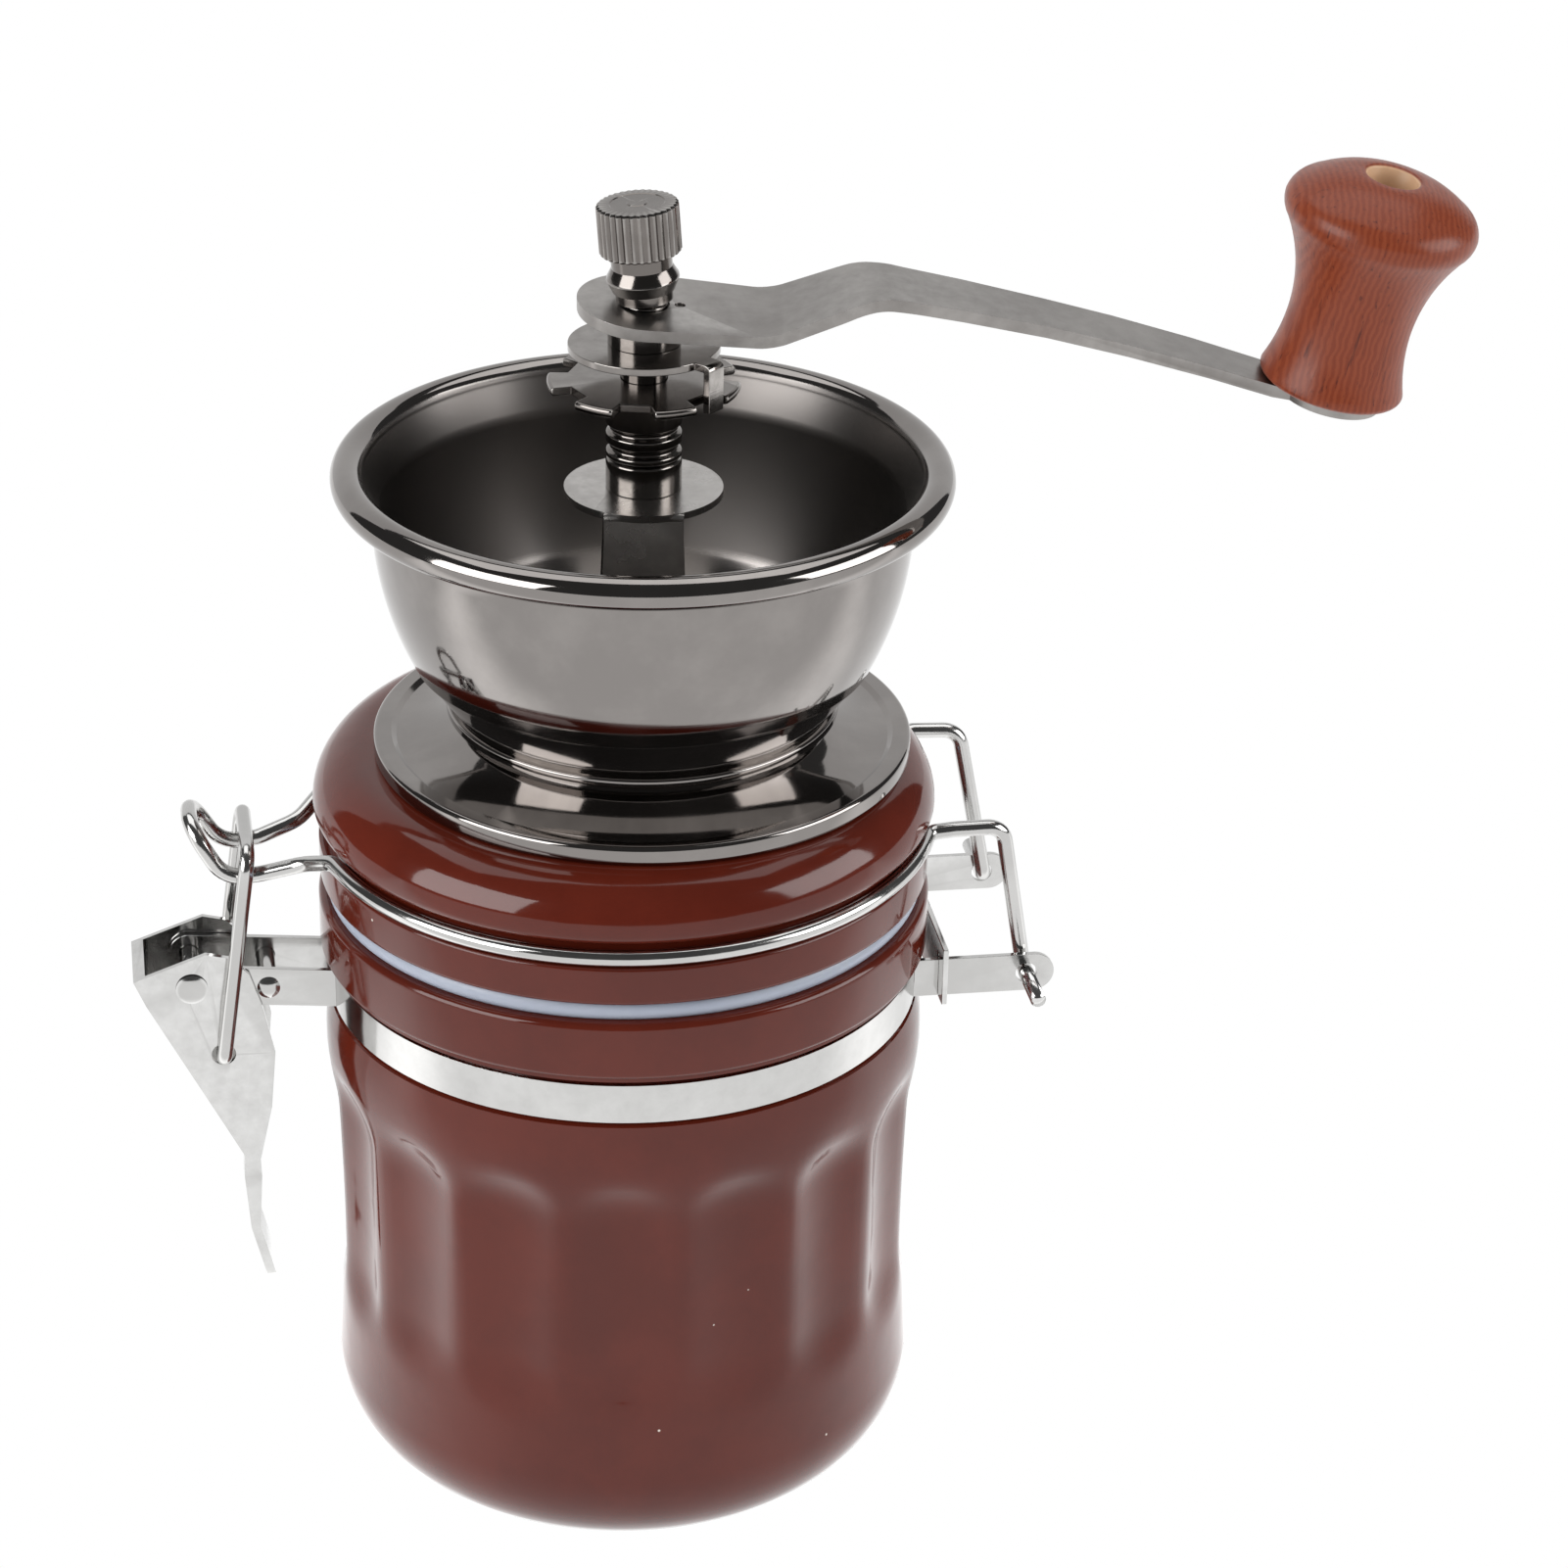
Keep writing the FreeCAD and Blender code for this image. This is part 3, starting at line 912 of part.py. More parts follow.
def make_spring():
    low, high = number("spring_bottom"), number("spring_top")
    turns = int(number("spring_turns"))
    path, pitch = helix_arcs(number("spring_radius"), low, high, turns)
    tube = swept(path, number("spring_wire"))
    points = path.discretize(Number=turns * 60)
    nearest = min((a - b).Length for i, a in enumerate(points) for b in points[i + 30:])
    print("burr_spring: least gap to itself %.2f mm" % (nearest - 2 * number("spring_wire")))
    spring = fixed_shape("spring", tube)
    return keep("burr_spring", on_mill(spring))


# Star wheel: a notched disc on a grooved hub
def make_star_wheel():
    grooves = []
    for low in ("hub_bottom + hub_groove_low", "hub_bottom + hub_groove_high"):
        high = low + " + hub_groove_slope + hub_groove_width"
        grooves += [("hub_radius", low), ("hub_radius - hub_groove", low + " + hub_groove_slope"),
                    ("hub_radius - hub_groove", high), ("hub_radius", high + " + hub_groove_slope")]
    body = turned("wheel", [
        ("stud_radius + fit_gap", "hub_bottom"), ("hub_radius", "hub_bottom"), *grooves,
        ("hub_radius", "wheel_bottom"), ("wheel_radius - wheel_edge", "wheel_bottom"),
        ("wheel_radius", "wheel_bottom + wheel_edge"), ("wheel_radius", "wheel_top - wheel_edge"),
        ("wheel_radius - wheel_edge", "wheel_top"), ("stud_radius + fit_gap", "wheel_top")])
    notch = pocket(body, "XY_Plane", [
        ("wheel_radius - notch_depth", "-notch_root / 2"),
        ("wheel_radius + beyond", "-notch_width / 2 - notch_flare"),
        ("wheel_radius + beyond", "notch_width / 2 + notch_flare"),
        ("wheel_radius - notch_depth", "notch_root / 2")],
        "wheel_bottom - beyond", "wheel_top + beyond")
    round_the_axis(body, notch, "wheel_lobes")
    on_mill(body)
    bind(body, "Placement.Rotation.Angle", "mill_turn + wheel_angle")
    return keep("star_wheel", body)


def make_lock_washer():
    disc = rod("washer_disc", "washer_radius", "washer_bottom", "washer_top")
    lug = slab("washer_lug", "XZ_Plane", [
        ("washer_radius - tab_root", "washer_bottom"), ("tab_inner", "washer_bottom"),
        ("tab_inner", "tab_bottom"), ("tab_outer", "tab_bottom"), ("tab_outer", "washer_top - tab_bend"),
        ("tab_outer - tab_bend", "washer_top", "tab_bend", "left"),
        ("washer_radius - tab_root", "washer_top")], "-tab_width / 2", "tab_width / 2")
    bore = rod("washer_bore", "stud_radius + fit_gap", "washer_bottom - beyond", "washer_top + beyond")
    washer = on_mill(cut("washer_cut", joined("washer_blank", [disc, lug]), [bore]))
    bind(washer, "Placement.Rotation.Angle", "mill_turn + tab_angle")
    return keep("lock_washer", washer)


def make_arm_spacer():
    top = "arm_hub_top - arm_thickness - arm_seat_drop"
    return keep("arm_spacer", on_mill(turned("spacer", [
        ("stud_radius + fit_gap", "washer_top"), ("spacer_radius", "washer_top"), ("spacer_radius", top),
        ("stud_radius + fit_gap", top)])))


# Crank arm: a flat bar that dips past the hub, is joggled up and then bows down to the knob.
# It is drawn from its own upper face at the mill's axis, and leans a little about its length.
def on_arm(thing, spot=Vector(), turn=Rotation()):
    mill = Placement(at("mill_shift * cos(mill_turn)", "mill_shift * sin(mill_turn)", "arm_hub_top"),
                     Rotation(Vector(0, 0, 1), number("mill_turn")))
    lean = Placement(Vector(), Rotation(Vector(1, 0, 0), number("arm_roll")))
    thing.Placement = mill * lean * Placement(spot, turn)
    return thing


def make_crank_arm():
    hub_end = "(-arm_hub_radius - beyond)"
    hub_end_z = "(arm_hub_radius + beyond) * tan(arm_hub_slope)"
    side = slab("arm_side", "XZ_Plane", [
        (hub_end, hub_end_z + " - arm_thickness"),
        ("arm_dip_x + arm_dip_under", "-arm_dip - arm_thickness"),
        ("arm_rise_x + arm_thickness * sin(arm_rise)", "arm_rise_z - arm_thickness * cos(arm_rise)"),
        ("arm_crest_x - arm_thickness * sin(arm_crest_fall)",
         "arm_crest_z - arm_thickness * cos(arm_crest_fall)", "arm_crest_bend - arm_thickness", "right"),
        ("arm_bend_x - arm_thickness * sin(arm_bend_fall)",
         "arm_bend_z - arm_thickness * cos(arm_bend_fall)", "arm_bow - arm_thickness", "right"),
        ("arm_tip_x", "arm_tip_z - arm_thickness"), ("arm_tip_x", "arm_tip_z"),
        ("arm_bend_x", "arm_bend_z"), ("arm_crest_x", "arm_crest_z", "arm_bow", "left"),
        ("arm_rise_x", "arm_rise_z", "arm_crest_bend", "left"), ("arm_dip_x", "-arm_dip"),
        (hub_end, hub_end_z)], "-arm_hub_radius - beyond", "arm_hub_radius + beyond")
    hub_half = "(arm_hub_radius * arm_hub_share)"
    hub_x = "sqrt(arm_hub_radius^2 - %s^2)" % hub_half
    end_half = "(arm_end_width / 2)"
    end_x = "(arm_reach - sqrt(arm_end_radius^2 - %s^2))" % end_half
    plan = slab("arm_plan", "XY_Plane", [
        ("-arm_hub_radius", "0", "arm_hub_radius", "left"),
        (hub_x, "-" + hub_half, "arm_hub_radius", "left"), ("arm_shoulder_x", "-arm_shoulder_half"),
        ("arm_waist_x", "-arm_waist_half", "arm_shoulder_bend", "left"),
        ("arm_neck_x", "-arm_neck_half", "arm_waist_bend", "right"),
        ("arm_mid_x", "-arm_mid_width / 2"), (end_x, "-" + end_half),
        ("arm_reach + arm_end_radius", "0", "arm_end_radius", "left"),
        (end_x, end_half, "arm_end_radius", "left"), ("arm_mid_x", "arm_mid_width / 2"),
        ("arm_neck_x", "arm_neck_half"), ("arm_waist_x", "arm_waist_half", "arm_waist_bend", "right"),
        ("arm_shoulder_x", "arm_shoulder_half", "arm_shoulder_bend", "left"),
        (hub_x, hub_half)], "-arm_below", "arm_above")
    hole = doc.addObject("Part::Cylinder", "arm_pin_hole")
    bind(hole, "Radius", "knob_pin_radius * pin_neck_share + fit_gap")
    bind(hole, "Height", "arm_thickness * 4")
    turn = Rotation(Vector(0, 1, 0), number("knob_lean"))
    foot = turn.multVec(at("0", "0", "-arm_thickness * 2"))
    hole.Placement = Placement(at("arm_reach", "0", "arm_end_z") + foot, turn)
    bore = rod("arm_bore", "stud_radius + arm_bore_play", "-arm_above", "arm_above")
    mark = rod("arm_mark", "arm_mark_radius", "-arm_mark_depth", "arm_above", "arm_mark_x")
    arm = cut("arm_cut", shared("arm_bar", side, plan), [bore, hole, mark])
    return keep("crank_arm", on_arm(arm))


def on_knob(thing):
    """Moves a piece drawn about the knob's own axis to the arm's end."""
    return on_arm(thing, at("arm_reach", "0", "arm_end_z"),
                  Rotation(Vector(0, 1, 0), number("knob_lean")))


def make_thumb_nut():
    low = "(nut_bottom)"
    body = turned("thumb", [
        ("tip_radius + fit_gap", low), ("nut_neck_radius", low),
        ("nut_neck_radius", low + " + nut_base_height"),
        ("nut_neck_radius + nut_base_step", low + " + nut_base_height"),
        ("nut_flare_radius", low + " + nut_flare_height"),
        ("nut_waist_radius", low + " + nut_waist_height"),
        ("nut_waist_radius", low + " + nut_knurl_height"),
        ("nut_knurl_radius", low + " + nut_knurl_height + nut_knurl_start"),
        ("nut_knurl_radius", low + " + nut_height - nut_chamfer"),
        ("nut_knurl_radius - nut_chamfer", low + " + nut_height"), ("0", low + " + nut_height"),
        ("0", "shaft_top + nut_end_gap"), ("tip_radius + fit_gap", "shaft_top + nut_end_gap")])
    ridge = pocket(body, "XY_Plane", [
        ("nut_knurl_radius - knurl_depth", "0"),
        ("nut_knurl_radius + knurl_over", "-knurl_depth - knurl_flare"),
        ("nut_knurl_radius + knurl_over", "knurl_depth + knurl_flare")],
        low + " + nut_knurl_height + knurl_start", low + " + nut_height + beyond")
    round_the_axis(body, ridge, "knurl_count")
    return keep("thumb_nut", on_mill(body))


# Knob: turned wood, a foot, a slight waist and a domed head with a stepped bore
def make_knob():
    low = "knob_seat_gap"
    return keep("knob", on_knob(turned("knob_turned", [
        ("knob_pin_radius + pin_clearance", low), ("knob_foot_radius - knob_foot_round", low),
        ("knob_foot_radius", low + " + knob_foot_round", "knob_foot_round", "left"),
        ("knob_waist_radius", "knob_waist_height", "knob_waist_bend", "right"),
        ("knob_head_radius - knob_neck_in", "knob_head_height - knob_neck_drop", "knob_neck_bend",
         "right"),
        ("knob_head_radius - knob_cheek_in", "knob_head_height - knob_cheek_drop"),
        ("knob_head_radius", "knob_head_height", "knob_head_bend", "left"),
        ("knob_head_radius - knob_top_in", "knob_length - knob_top_drop", "knob_head_bend", "left"),
        ("knob_hole_radius + knob_mouth", "knob_length", "knob_top_bend", "left"),
        ("knob_hole_radius", "knob_length - knob_mouth_drop", "knob_mouth_bend", "left"),
        ("knob_hole_radius", "knob_length - knob_hole_depth"),
        ("knob_pin_radius + pin_clearance", "knob_length - knob_hole_depth")])))


def make_knob_pin():
    seat = "(knob_length - knob_hole_depth + knob_seat_gap)"
    thin = "(knob_pin_radius * pin_neck_share)"
    tail, under = "-arm_thickness - pin_tail", "-arm_thickness - pin_tail_gap"
    head_top = seat + " + knob_pin_head_height"
    return keep("knob_pin", on_knob(turned("pin", [
        ("0", tail), (thin + " + pin_tail_small", tail),
        (thin + " + pin_tail_large", under, "pin_tail_bend", "left"), (thin, under),
        (thin, "0"), ("knob_pin_radius", "0"), ("knob_pin_radius", seat), ("knob_pin_head", seat),
        ("knob_pin_head", head_top + " - pin_head_edge"),
        ("knob_pin_head - pin_head_edge", head_top), ("0", head_top)])))


make_jar()
make_strap("strap_front", -1)
make_strap("strap_back", 1)
make_hinge_retainer()
make_rivet("clasp_spacer_rivet", "spacer_x", "spacer_z", "rivet_radius",
           "rivet_radius + spacer_radius_over", "clasp_ear_half_gap - rivet_play",
           "(clasp_ear_half_gap + sheet + rivet_play)")
make_rivet("clasp_pivot_rivet", "pivot_x", "pivot_z", "rivet_radius", "pivot_head", "",
           "(lever_half_width + strap_gap)")
make_clasp_lever()
make_clasp_loop()
make_lid_bail()
make_gasket()
make_lid()
make_hopper_base()
make_hopper_bowl()
make_burr_housing()
make_mounting_screws()
make_bearing_spider()
make_outer_burr()
make_inner_burr()
make_bearing_bridge()
make_bridge_screws()
make_bushing()
make_shaft()
make_thrust_washer()
make_shaft_nut()
make_spring()
make_star_wheel()
make_lock_washer()
make_arm_spacer()
make_crank_arm()
make_thumb_nut()
make_knob()
make_knob_pin()

doc.recompute()
failed = [item.Label for item in doc.Objects if "Invalid" in item.State or "Error" in item.State]
failed += [name for name, thing in nodes.items() if thing.Shape.isNull() or not thing.Shape.isValid()]
if failed:
    raise RuntimeError("these did not build: " + ", ".join(failed))
for name, thing in nodes.items():
    thing.Shape.exportStep("parts/%s.step" % name)
    print("%-20s %2d solid(s) %10.1f mm3" % (name, len(thing.Shape.Solids), thing.Shape.Volume))
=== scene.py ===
import math

import bmesh
import bpy
from mathutils import Euler, Matrix, Vector


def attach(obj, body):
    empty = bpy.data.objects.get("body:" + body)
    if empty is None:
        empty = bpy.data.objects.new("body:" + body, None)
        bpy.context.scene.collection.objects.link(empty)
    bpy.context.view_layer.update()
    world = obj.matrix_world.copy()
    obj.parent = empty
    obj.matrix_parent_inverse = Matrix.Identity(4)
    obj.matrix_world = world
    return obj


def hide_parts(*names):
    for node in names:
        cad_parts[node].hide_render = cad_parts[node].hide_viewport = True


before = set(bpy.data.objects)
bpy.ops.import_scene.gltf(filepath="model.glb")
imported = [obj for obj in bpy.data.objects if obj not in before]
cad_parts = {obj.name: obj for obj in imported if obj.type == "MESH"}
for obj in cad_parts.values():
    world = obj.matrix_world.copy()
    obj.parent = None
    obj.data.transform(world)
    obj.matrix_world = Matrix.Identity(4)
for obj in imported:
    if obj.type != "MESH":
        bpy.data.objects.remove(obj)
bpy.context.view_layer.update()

mm = 0.001  # the sizes of pieces are in millimetres, and the scene is in metres
jarAxis = (0.0, 0.0)
millAxis = (2.776, -0.3655)  # the mill stands a little off the jar's axis
millTurn = math.radians(-7.5)


# Working tools

def clearSelection():
    if bpy.context.object and bpy.context.object.mode != "OBJECT":
        bpy.ops.object.mode_set(mode="OBJECT")
    bpy.ops.object.select_all(action="DESELECT")


def makeActive(piece):
    clearSelection()
    piece.select_set(True)
    bpy.context.view_layer.objects.active = piece


def startEditing(piece, mode="VERT"):
    makeActive(piece)
    bpy.ops.object.mode_set(mode="EDIT")
    bpy.ops.mesh.select_mode(type=mode)


def stopEditing():
    bpy.ops.object.mode_set(mode="OBJECT")


def pickVertices(piece, wanted):
    # wanted(index, place) says which vertices are selected
    shape = bmesh.from_edit_mesh(piece.data)
    for vertex in shape.verts:
        vertex.select_set(False)
    for vertex in shape.verts:
        if wanted(vertex.index, vertex.co):
            vertex.select_set(True)
    shape.select_flush_mode()
    bmesh.update_edit_mesh(piece.data)


def settle(piece):
    # the piece's place goes into its mesh, and its object stays at the origin
    makeActive(piece)
    bpy.ops.object.transform_apply(location=True, rotation=True, scale=True)


def applyModifiers(piece):
    makeActive(piece)
    for modifier in list(piece.modifiers):
        bpy.ops.object.modifier_apply(modifier=modifier.name)


def smooth(piece, degrees=32):
    makeActive(piece)
    bpy.ops.object.shade_smooth_by_angle(angle=math.radians(degrees))


def finishPiece(piece, body, material, nodes):
    piece.data.materials.clear()
    piece.data.materials.append(material)
    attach(piece, body)
    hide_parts(*nodes)
    return piece


def bendPoints(start, end, bend, side, longest):
    # points on the arc from start to end whose centre lies on that side of the way
    alongX, alongZ = end[0] - start[0], end[1] - start[1]
    chord = math.hypot(alongX, alongZ)
    sign = 1 if side == "left" else -1
    away = math.sqrt(max(bend * bend - chord * chord / 4, 0))
    centreX = (start[0] + end[0]) / 2 - sign * alongZ / chord * away
    centreZ = (start[1] + end[1]) / 2 + sign * alongX / chord * away
    first = math.atan2(start[1] - centreZ, start[0] - centreX)
    last = math.atan2(end[1] - centreZ, end[0] - centreX)
    sweep = (last - first + math.pi) % (2 * math.pi) - math.pi
    steps = max(2, math.ceil(abs(sweep) / math.radians(11)), math.ceil(abs(sweep) * bend / longest))
    return [(centreX + bend * math.cos(first + sweep * i / steps),
             centreZ + bend * math.sin(first + sweep * i / steps)) for i in range(1, steps + 1)]


def profilePoints(corners, longest):
    # corners are (radius, height), or (radius, height, bend, side) where an arc arrives
    points = [corners[0]]
    for corner in corners[1:]:
        if len(corner) == 2:
            points.append(corner)
        else:
            points += bendPoints(points[-1], corner[:2], corner[2], corner[3], longest)
    return points


def turned(name, corners, segments=128, axis=millAxis, ends="joined", innerFrom=None, longest=6.0):
    # rings are extruded one after another; ends are joined to each other, or capped;
    # from the corner innerFrom on, the rings lie round the mill's axis
    points = profilePoints(corners, longest)
    radius, height = points[0]
    centre = list(axis)
    clearSelection()
    bpy.ops.mesh.primitive_circle_add(
        vertices=segments, radius=radius * mm, location=(centre[0] * mm, centre[1] * mm, height * mm))
    piece = bpy.context.object
    piece.name = name
    settle(piece)
    startEditing(piece)
    bpy.ops.mesh.select_all(action="SELECT")
    for nextRadius, nextHeight in points[1:]:
        move = [0.0, 0.0, (nextHeight - height) * mm]
        if innerFrom and centre != list(millAxis) and (nextRadius, nextHeight) == innerFrom:
            move[0], move[1] = (millAxis[0] - centre[0]) * mm, (millAxis[1] - centre[1]) * mm
            centre = list(millAxis)
        factor = nextRadius / radius
        bpy.ops.mesh.extrude_region_move(TRANSFORM_OT_translate={"value": tuple(move)})
        bpy.ops.transform.resize(
            value=(factor, factor, 1), center_override=(centre[0] * mm, centre[1] * mm, nextHeight * mm))
        radius, height = nextRadius, nextHeight
    last = segments * (len(points) - 1)
    if ends == "joined":
        pickVertices(piece, lambda index, place: index < segments or index >= last)
        bpy.ops.mesh.bridge_edge_loops()
    else:
        bpy.ops.mesh.edge_face_add()
        pickVertices(piece, lambda index, place: index < segments)
        bpy.ops.mesh.edge_face_add()
    bpy.ops.mesh.select_all(action="SELECT")
    bpy.ops.mesh.normals_make_consistent(inside=False)
    stopEditing()
    return piece


def roundFold(piece, wanted, width, steps):
    # edges across a folded sheet, picked by their middle, get a wide round
    startEditing(piece, "EDGE")
    shape = bmesh.from_edit_mesh(piece.data)
    for edge in shape.edges:
        edge.select_set(False)
    for edge in shape.edges:
        ends = [vertex.co for vertex in edge.verts]
        if wanted((ends[0] + ends[1]) / 2, ends[1] - ends[0]):
            edge.select_set(True)
    bmesh.update_edit_mesh(piece.data)
    bpy.ops.mesh.bevel(offset=width * mm, segments=steps, affect="EDGES")
    stopEditing()


mergeGap = 0.000002


def dressed(node, name, edge, degrees=30, flatten=1.0, fold=None):
    # a merged copy of a CAD node, with its flats made whole and its sharp edges broken
    piece = bpy.data.objects.new(name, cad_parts[node].data.copy())
    bpy.context.scene.collection.objects.link(piece)
    startEditing(piece)
    bpy.ops.mesh.select_all(action="SELECT")
    bpy.ops.mesh.remove_doubles(threshold=mergeGap)
    if flatten:
        bpy.ops.mesh.dissolve_limited(angle_limit=math.radians(flatten))
    stopEditing()
    if fold:
        roundFold(piece, *fold)
    if edge:
        bevel = piece.modifiers.new("edge", "BEVEL")
        bevel.width = edge * mm
        bevel.segments = 2
        bevel.limit_method = "ANGLE"
        bevel.angle_limit = math.radians(degrees)
        applyModifiers(piece)
    smooth(piece, degrees)
    if edge:
        evened = piece.modifiers.new("evened", "WEIGHTED_NORMAL")
        evened.keep_sharp = True
        applyModifiers(piece)
    return piece


# Shader nodes

def objectPlace(tree):
    return tree.nodes.new("ShaderNodeTexCoord").outputs["Object"]


def feed(tree, value, socket):
    if isinstance(value, (int, float)):
        socket.default_value = value
    else:
        tree.links.new(value, socket)


def noiseAt(tree, place, scale, detail, rough):
    noise = tree.nodes.new("ShaderNodeTexNoise")
    noise.inputs["Detail"].default_value = detail
    noise.inputs["Roughness"].default_value = rough
    tree.links.new(place, noise.inputs["Vector"])
    feed(tree, scale, noise.inputs["Scale"])
    return noise.outputs["Fac"]


def calculate(tree, operation, first, second):
    node = tree.nodes.new("ShaderNodeMath")
    node.operation = operation
    feed(tree, first, node.inputs[0])
    feed(tree, second, node.inputs[1])
    return node.outputs[0]


def vectorStep(tree, operation, *values):
    node = tree.nodes.new("ShaderNodeVectorMath")
    node.operation = operation
    for value, socket in zip(values, node.inputs):
        if isinstance(value, tuple):
            socket.default_value = value
        else:
            tree.links.new(value, socket)
    return node.outputs


def spread(tree, value, low, high, newLow, newHigh, kind="SMOOTHSTEP"):
    node = tree.nodes.new("ShaderNodeMapRange")
    node.interpolation_type = kind
    tree.links.new(value, node.inputs["Value"])
    for label, amount in (("From Min", low), ("From Max", high), ("To Min", newLow), ("To Max", newHigh)):
        feed(tree, amount, node.inputs[label])
    return node.outputs["Result"]


# Camera and studio

# the focal length and the frame's width are in pixels, and the angles in radians
cameraPlace = {
    "place": (-0.075668, -0.574758, 0.409809), "pitch": 0.4672, "yaw": 0.0434 + math.radians(7.5),
    "roll": -0.0219, "focal": 4200.0, "frameWidth": 1601.0, "sensor": 36.0, "near": 0.01, "far": 20}


def makeCamera():
    pitch, yaw, roll = cameraPlace["pitch"], cameraPlace["yaw"], cameraPlace["roll"]
    ahead = Vector((math.sin(yaw) * math.cos(pitch), math.cos(yaw) * math.cos(pitch), -math.sin(pitch)))
    right = Vector((math.cos(yaw), -math.sin(yaw), 0))
    down = ahead.cross(right)
    across = right * math.cos(roll) + down * math.sin(roll)
    lower = down * math.cos(roll) - right * math.sin(roll)
    lens = bpy.data.cameras.new("studioCamera")
    lens.sensor_width = cameraPlace["sensor"]
    lens.lens = cameraPlace["focal"] / cameraPlace["frameWidth"] * cameraPlace["sensor"]
    lens.clip_start, lens.clip_end = cameraPlace["near"], cameraPlace["far"]
    camera = bpy.data.objects.new("studioCamera", lens)
    bpy.context.scene.collection.objects.link(camera)
    turn = Matrix((across, -lower, -ahead)).transposed()
    camera.matrix_world = Matrix.Translation(cameraPlace["place"]) @ turn.to_4x4()
    bpy.context.scene.camera = camera


makeCamera()
print("camera made")

# the reflections see a white floor that is brightest at both sides, a white backdrop and a dark room
studio = {"floor": 6.0, "floorWhite": 0.94, "worldFill": 0.50, "worldMirrored": 0.07, "floorMirrored": 1.05,
          "leftMirrored": 1.7, "rightMirrored": 1.5, "sideEnd": 0.085, "sideFull": 0.0, "middle": 0.03}

lampAim = (0, 0, 0.12)
lamps = {
    "topSoftbox": {"place": (0.05, 0.25, 1.2), "size": (1.5, 0.8), "power": 6.0},
    "leftSoftbox": {"place": (-0.95, -0.45, 0.50), "size": (0.85, 0.7), "power": 10.0},
    "rightSoftbox": {"place": (1.0, -0.35, 0.50), "size": (0.8, 0.6), "power": 7.0}}

backdrop = {"place": (0.0, 1.7, 0.95), "size": (3.6, 1.9), "strength": 0.8}


def brightToTheEye(tree, plain, mirrored):
    # 1 for camera rays, mirrored for glossy rays, and plain for the light that falls on things
    path = tree.nodes.new("ShaderNodeLightPath")
    unseen = spread(tree, path.outputs["Is Glossy Ray"], 0.0, 1.0, plain, mirrored, "LINEAR")
    return spread(tree, path.outputs["Is Camera Ray"], 0.0, 1.0, unseen, 1.0, "LINEAR")


def makeWorld():
    world = bpy.data.worlds.new("studio")
    bpy.context.scene.world = world
    world.use_nodes = True
    background = world.node_tree.nodes["Background"]
    background.inputs["Color"].default_value = (1.0, 1.0, 1.0, 1)
    strength = brightToTheEye(world.node_tree, studio["worldFill"], studio["worldMirrored"])
    world.node_tree.links.new(strength, background.inputs["Strength"])


def makeLamp(name, place, size, power):
    light = bpy.data.lights.new(name, "AREA")
    light.shape = "RECTANGLE"
    light.size, light.size_y = size
    light.energy = power
    lamp = bpy.data.objects.new(name, light)
    bpy.context.scene.collection.objects.link(lamp)
    aim = (Vector(lampAim) - Vector(place)).to_track_quat("-Z", "Y")
    lamp.matrix_world = Matrix.Translation(place) @ aim.to_matrix().to_4x4()


def makeBackdrop():
    clearSelection()
    bpy.ops.mesh.primitive_plane_add(size=1, location=(0, 0, 0))
    card = bpy.context.object
    card.name = "backdrop"
    card.scale = (*backdrop["size"], 1)
    card.rotation_euler = (math.radians(90), 0, 0)
    card.location = backdrop["place"]
    settle(card)
    bright = bpy.data.materials.new("backdropWhite")
    bright.use_nodes = True
    tree = bright.node_tree
    tree.nodes.clear()
    white = tree.nodes.new("ShaderNodeEmission")
    white.inputs["Strength"].default_value = backdrop["strength"]
    output = tree.nodes.new("ShaderNodeOutputMaterial")
    tree.links.new(white.outputs[0], output.inputs["Surface"])
    card.data.materials.append(bright)
    card.visible_camera = False


def sideBrightness(tree):
    # the floor's mirrored strength: plain before and behind the mill, brighter beside it
    apart = tree.nodes.new("ShaderNodeSeparateXYZ")
    tree.links.new(objectPlace(tree), apart.inputs[0])
    beside = spread(tree, apart.outputs["X"], -studio["middle"], studio["middle"], studio["leftMirrored"],
                    studio["rightMirrored"])
    along = calculate(tree, "ABSOLUTE", apart.outputs["Y"], 0.0)
    return spread(tree, along, studio["sideEnd"], studio["sideFull"], studio["floorMirrored"], beside)


def makeFloor():
    clearSelection()
    bpy.ops.mesh.primitive_plane_add(size=studio["floor"], location=(0, 0, 0))
    floor = bpy.context.object
    floor.name = "floor"
    pale = bpy.data.materials.new("paleFloor")
    pale.use_nodes = True
    tree = pale.node_tree
    tree.nodes.clear()
    matt = tree.nodes.new("ShaderNodeBsdfDiffuse")
    matt.inputs["Color"].default_value = (*[studio["floorWhite"]] * 3, 1)
    white = tree.nodes.new("ShaderNodeEmission")
    tree.links.new(brightToTheEye(tree, 0.0, sideBrightness(tree)), white.inputs["Strength"])
    path = tree.nodes.new("ShaderNodeLightPath")
    seen = calculate(tree, "MAXIMUM", path.outputs["Is Camera Ray"], path.outputs["Is Glossy Ray"])
    mix = tree.nodes.new("ShaderNodeMixShader")
    tree.links.new(seen, mix.inputs[0])
    tree.links.new(matt.outputs[0], mix.inputs[1])
    tree.links.new(white.outputs[0], mix.inputs[2])
    output = tree.nodes.new("ShaderNodeOutputMaterial")
    tree.links.new(mix.outputs[0], output.inputs["Surface"])
    floor.data.materials.append(pale)


def makeStudio():
    makeWorld()
    makeFloor()
    for name, lamp in lamps.items():
        makeLamp(name, **lamp)
    makeBackdrop()


makeStudio()
print("studio made")


# Surface effects that several materials share

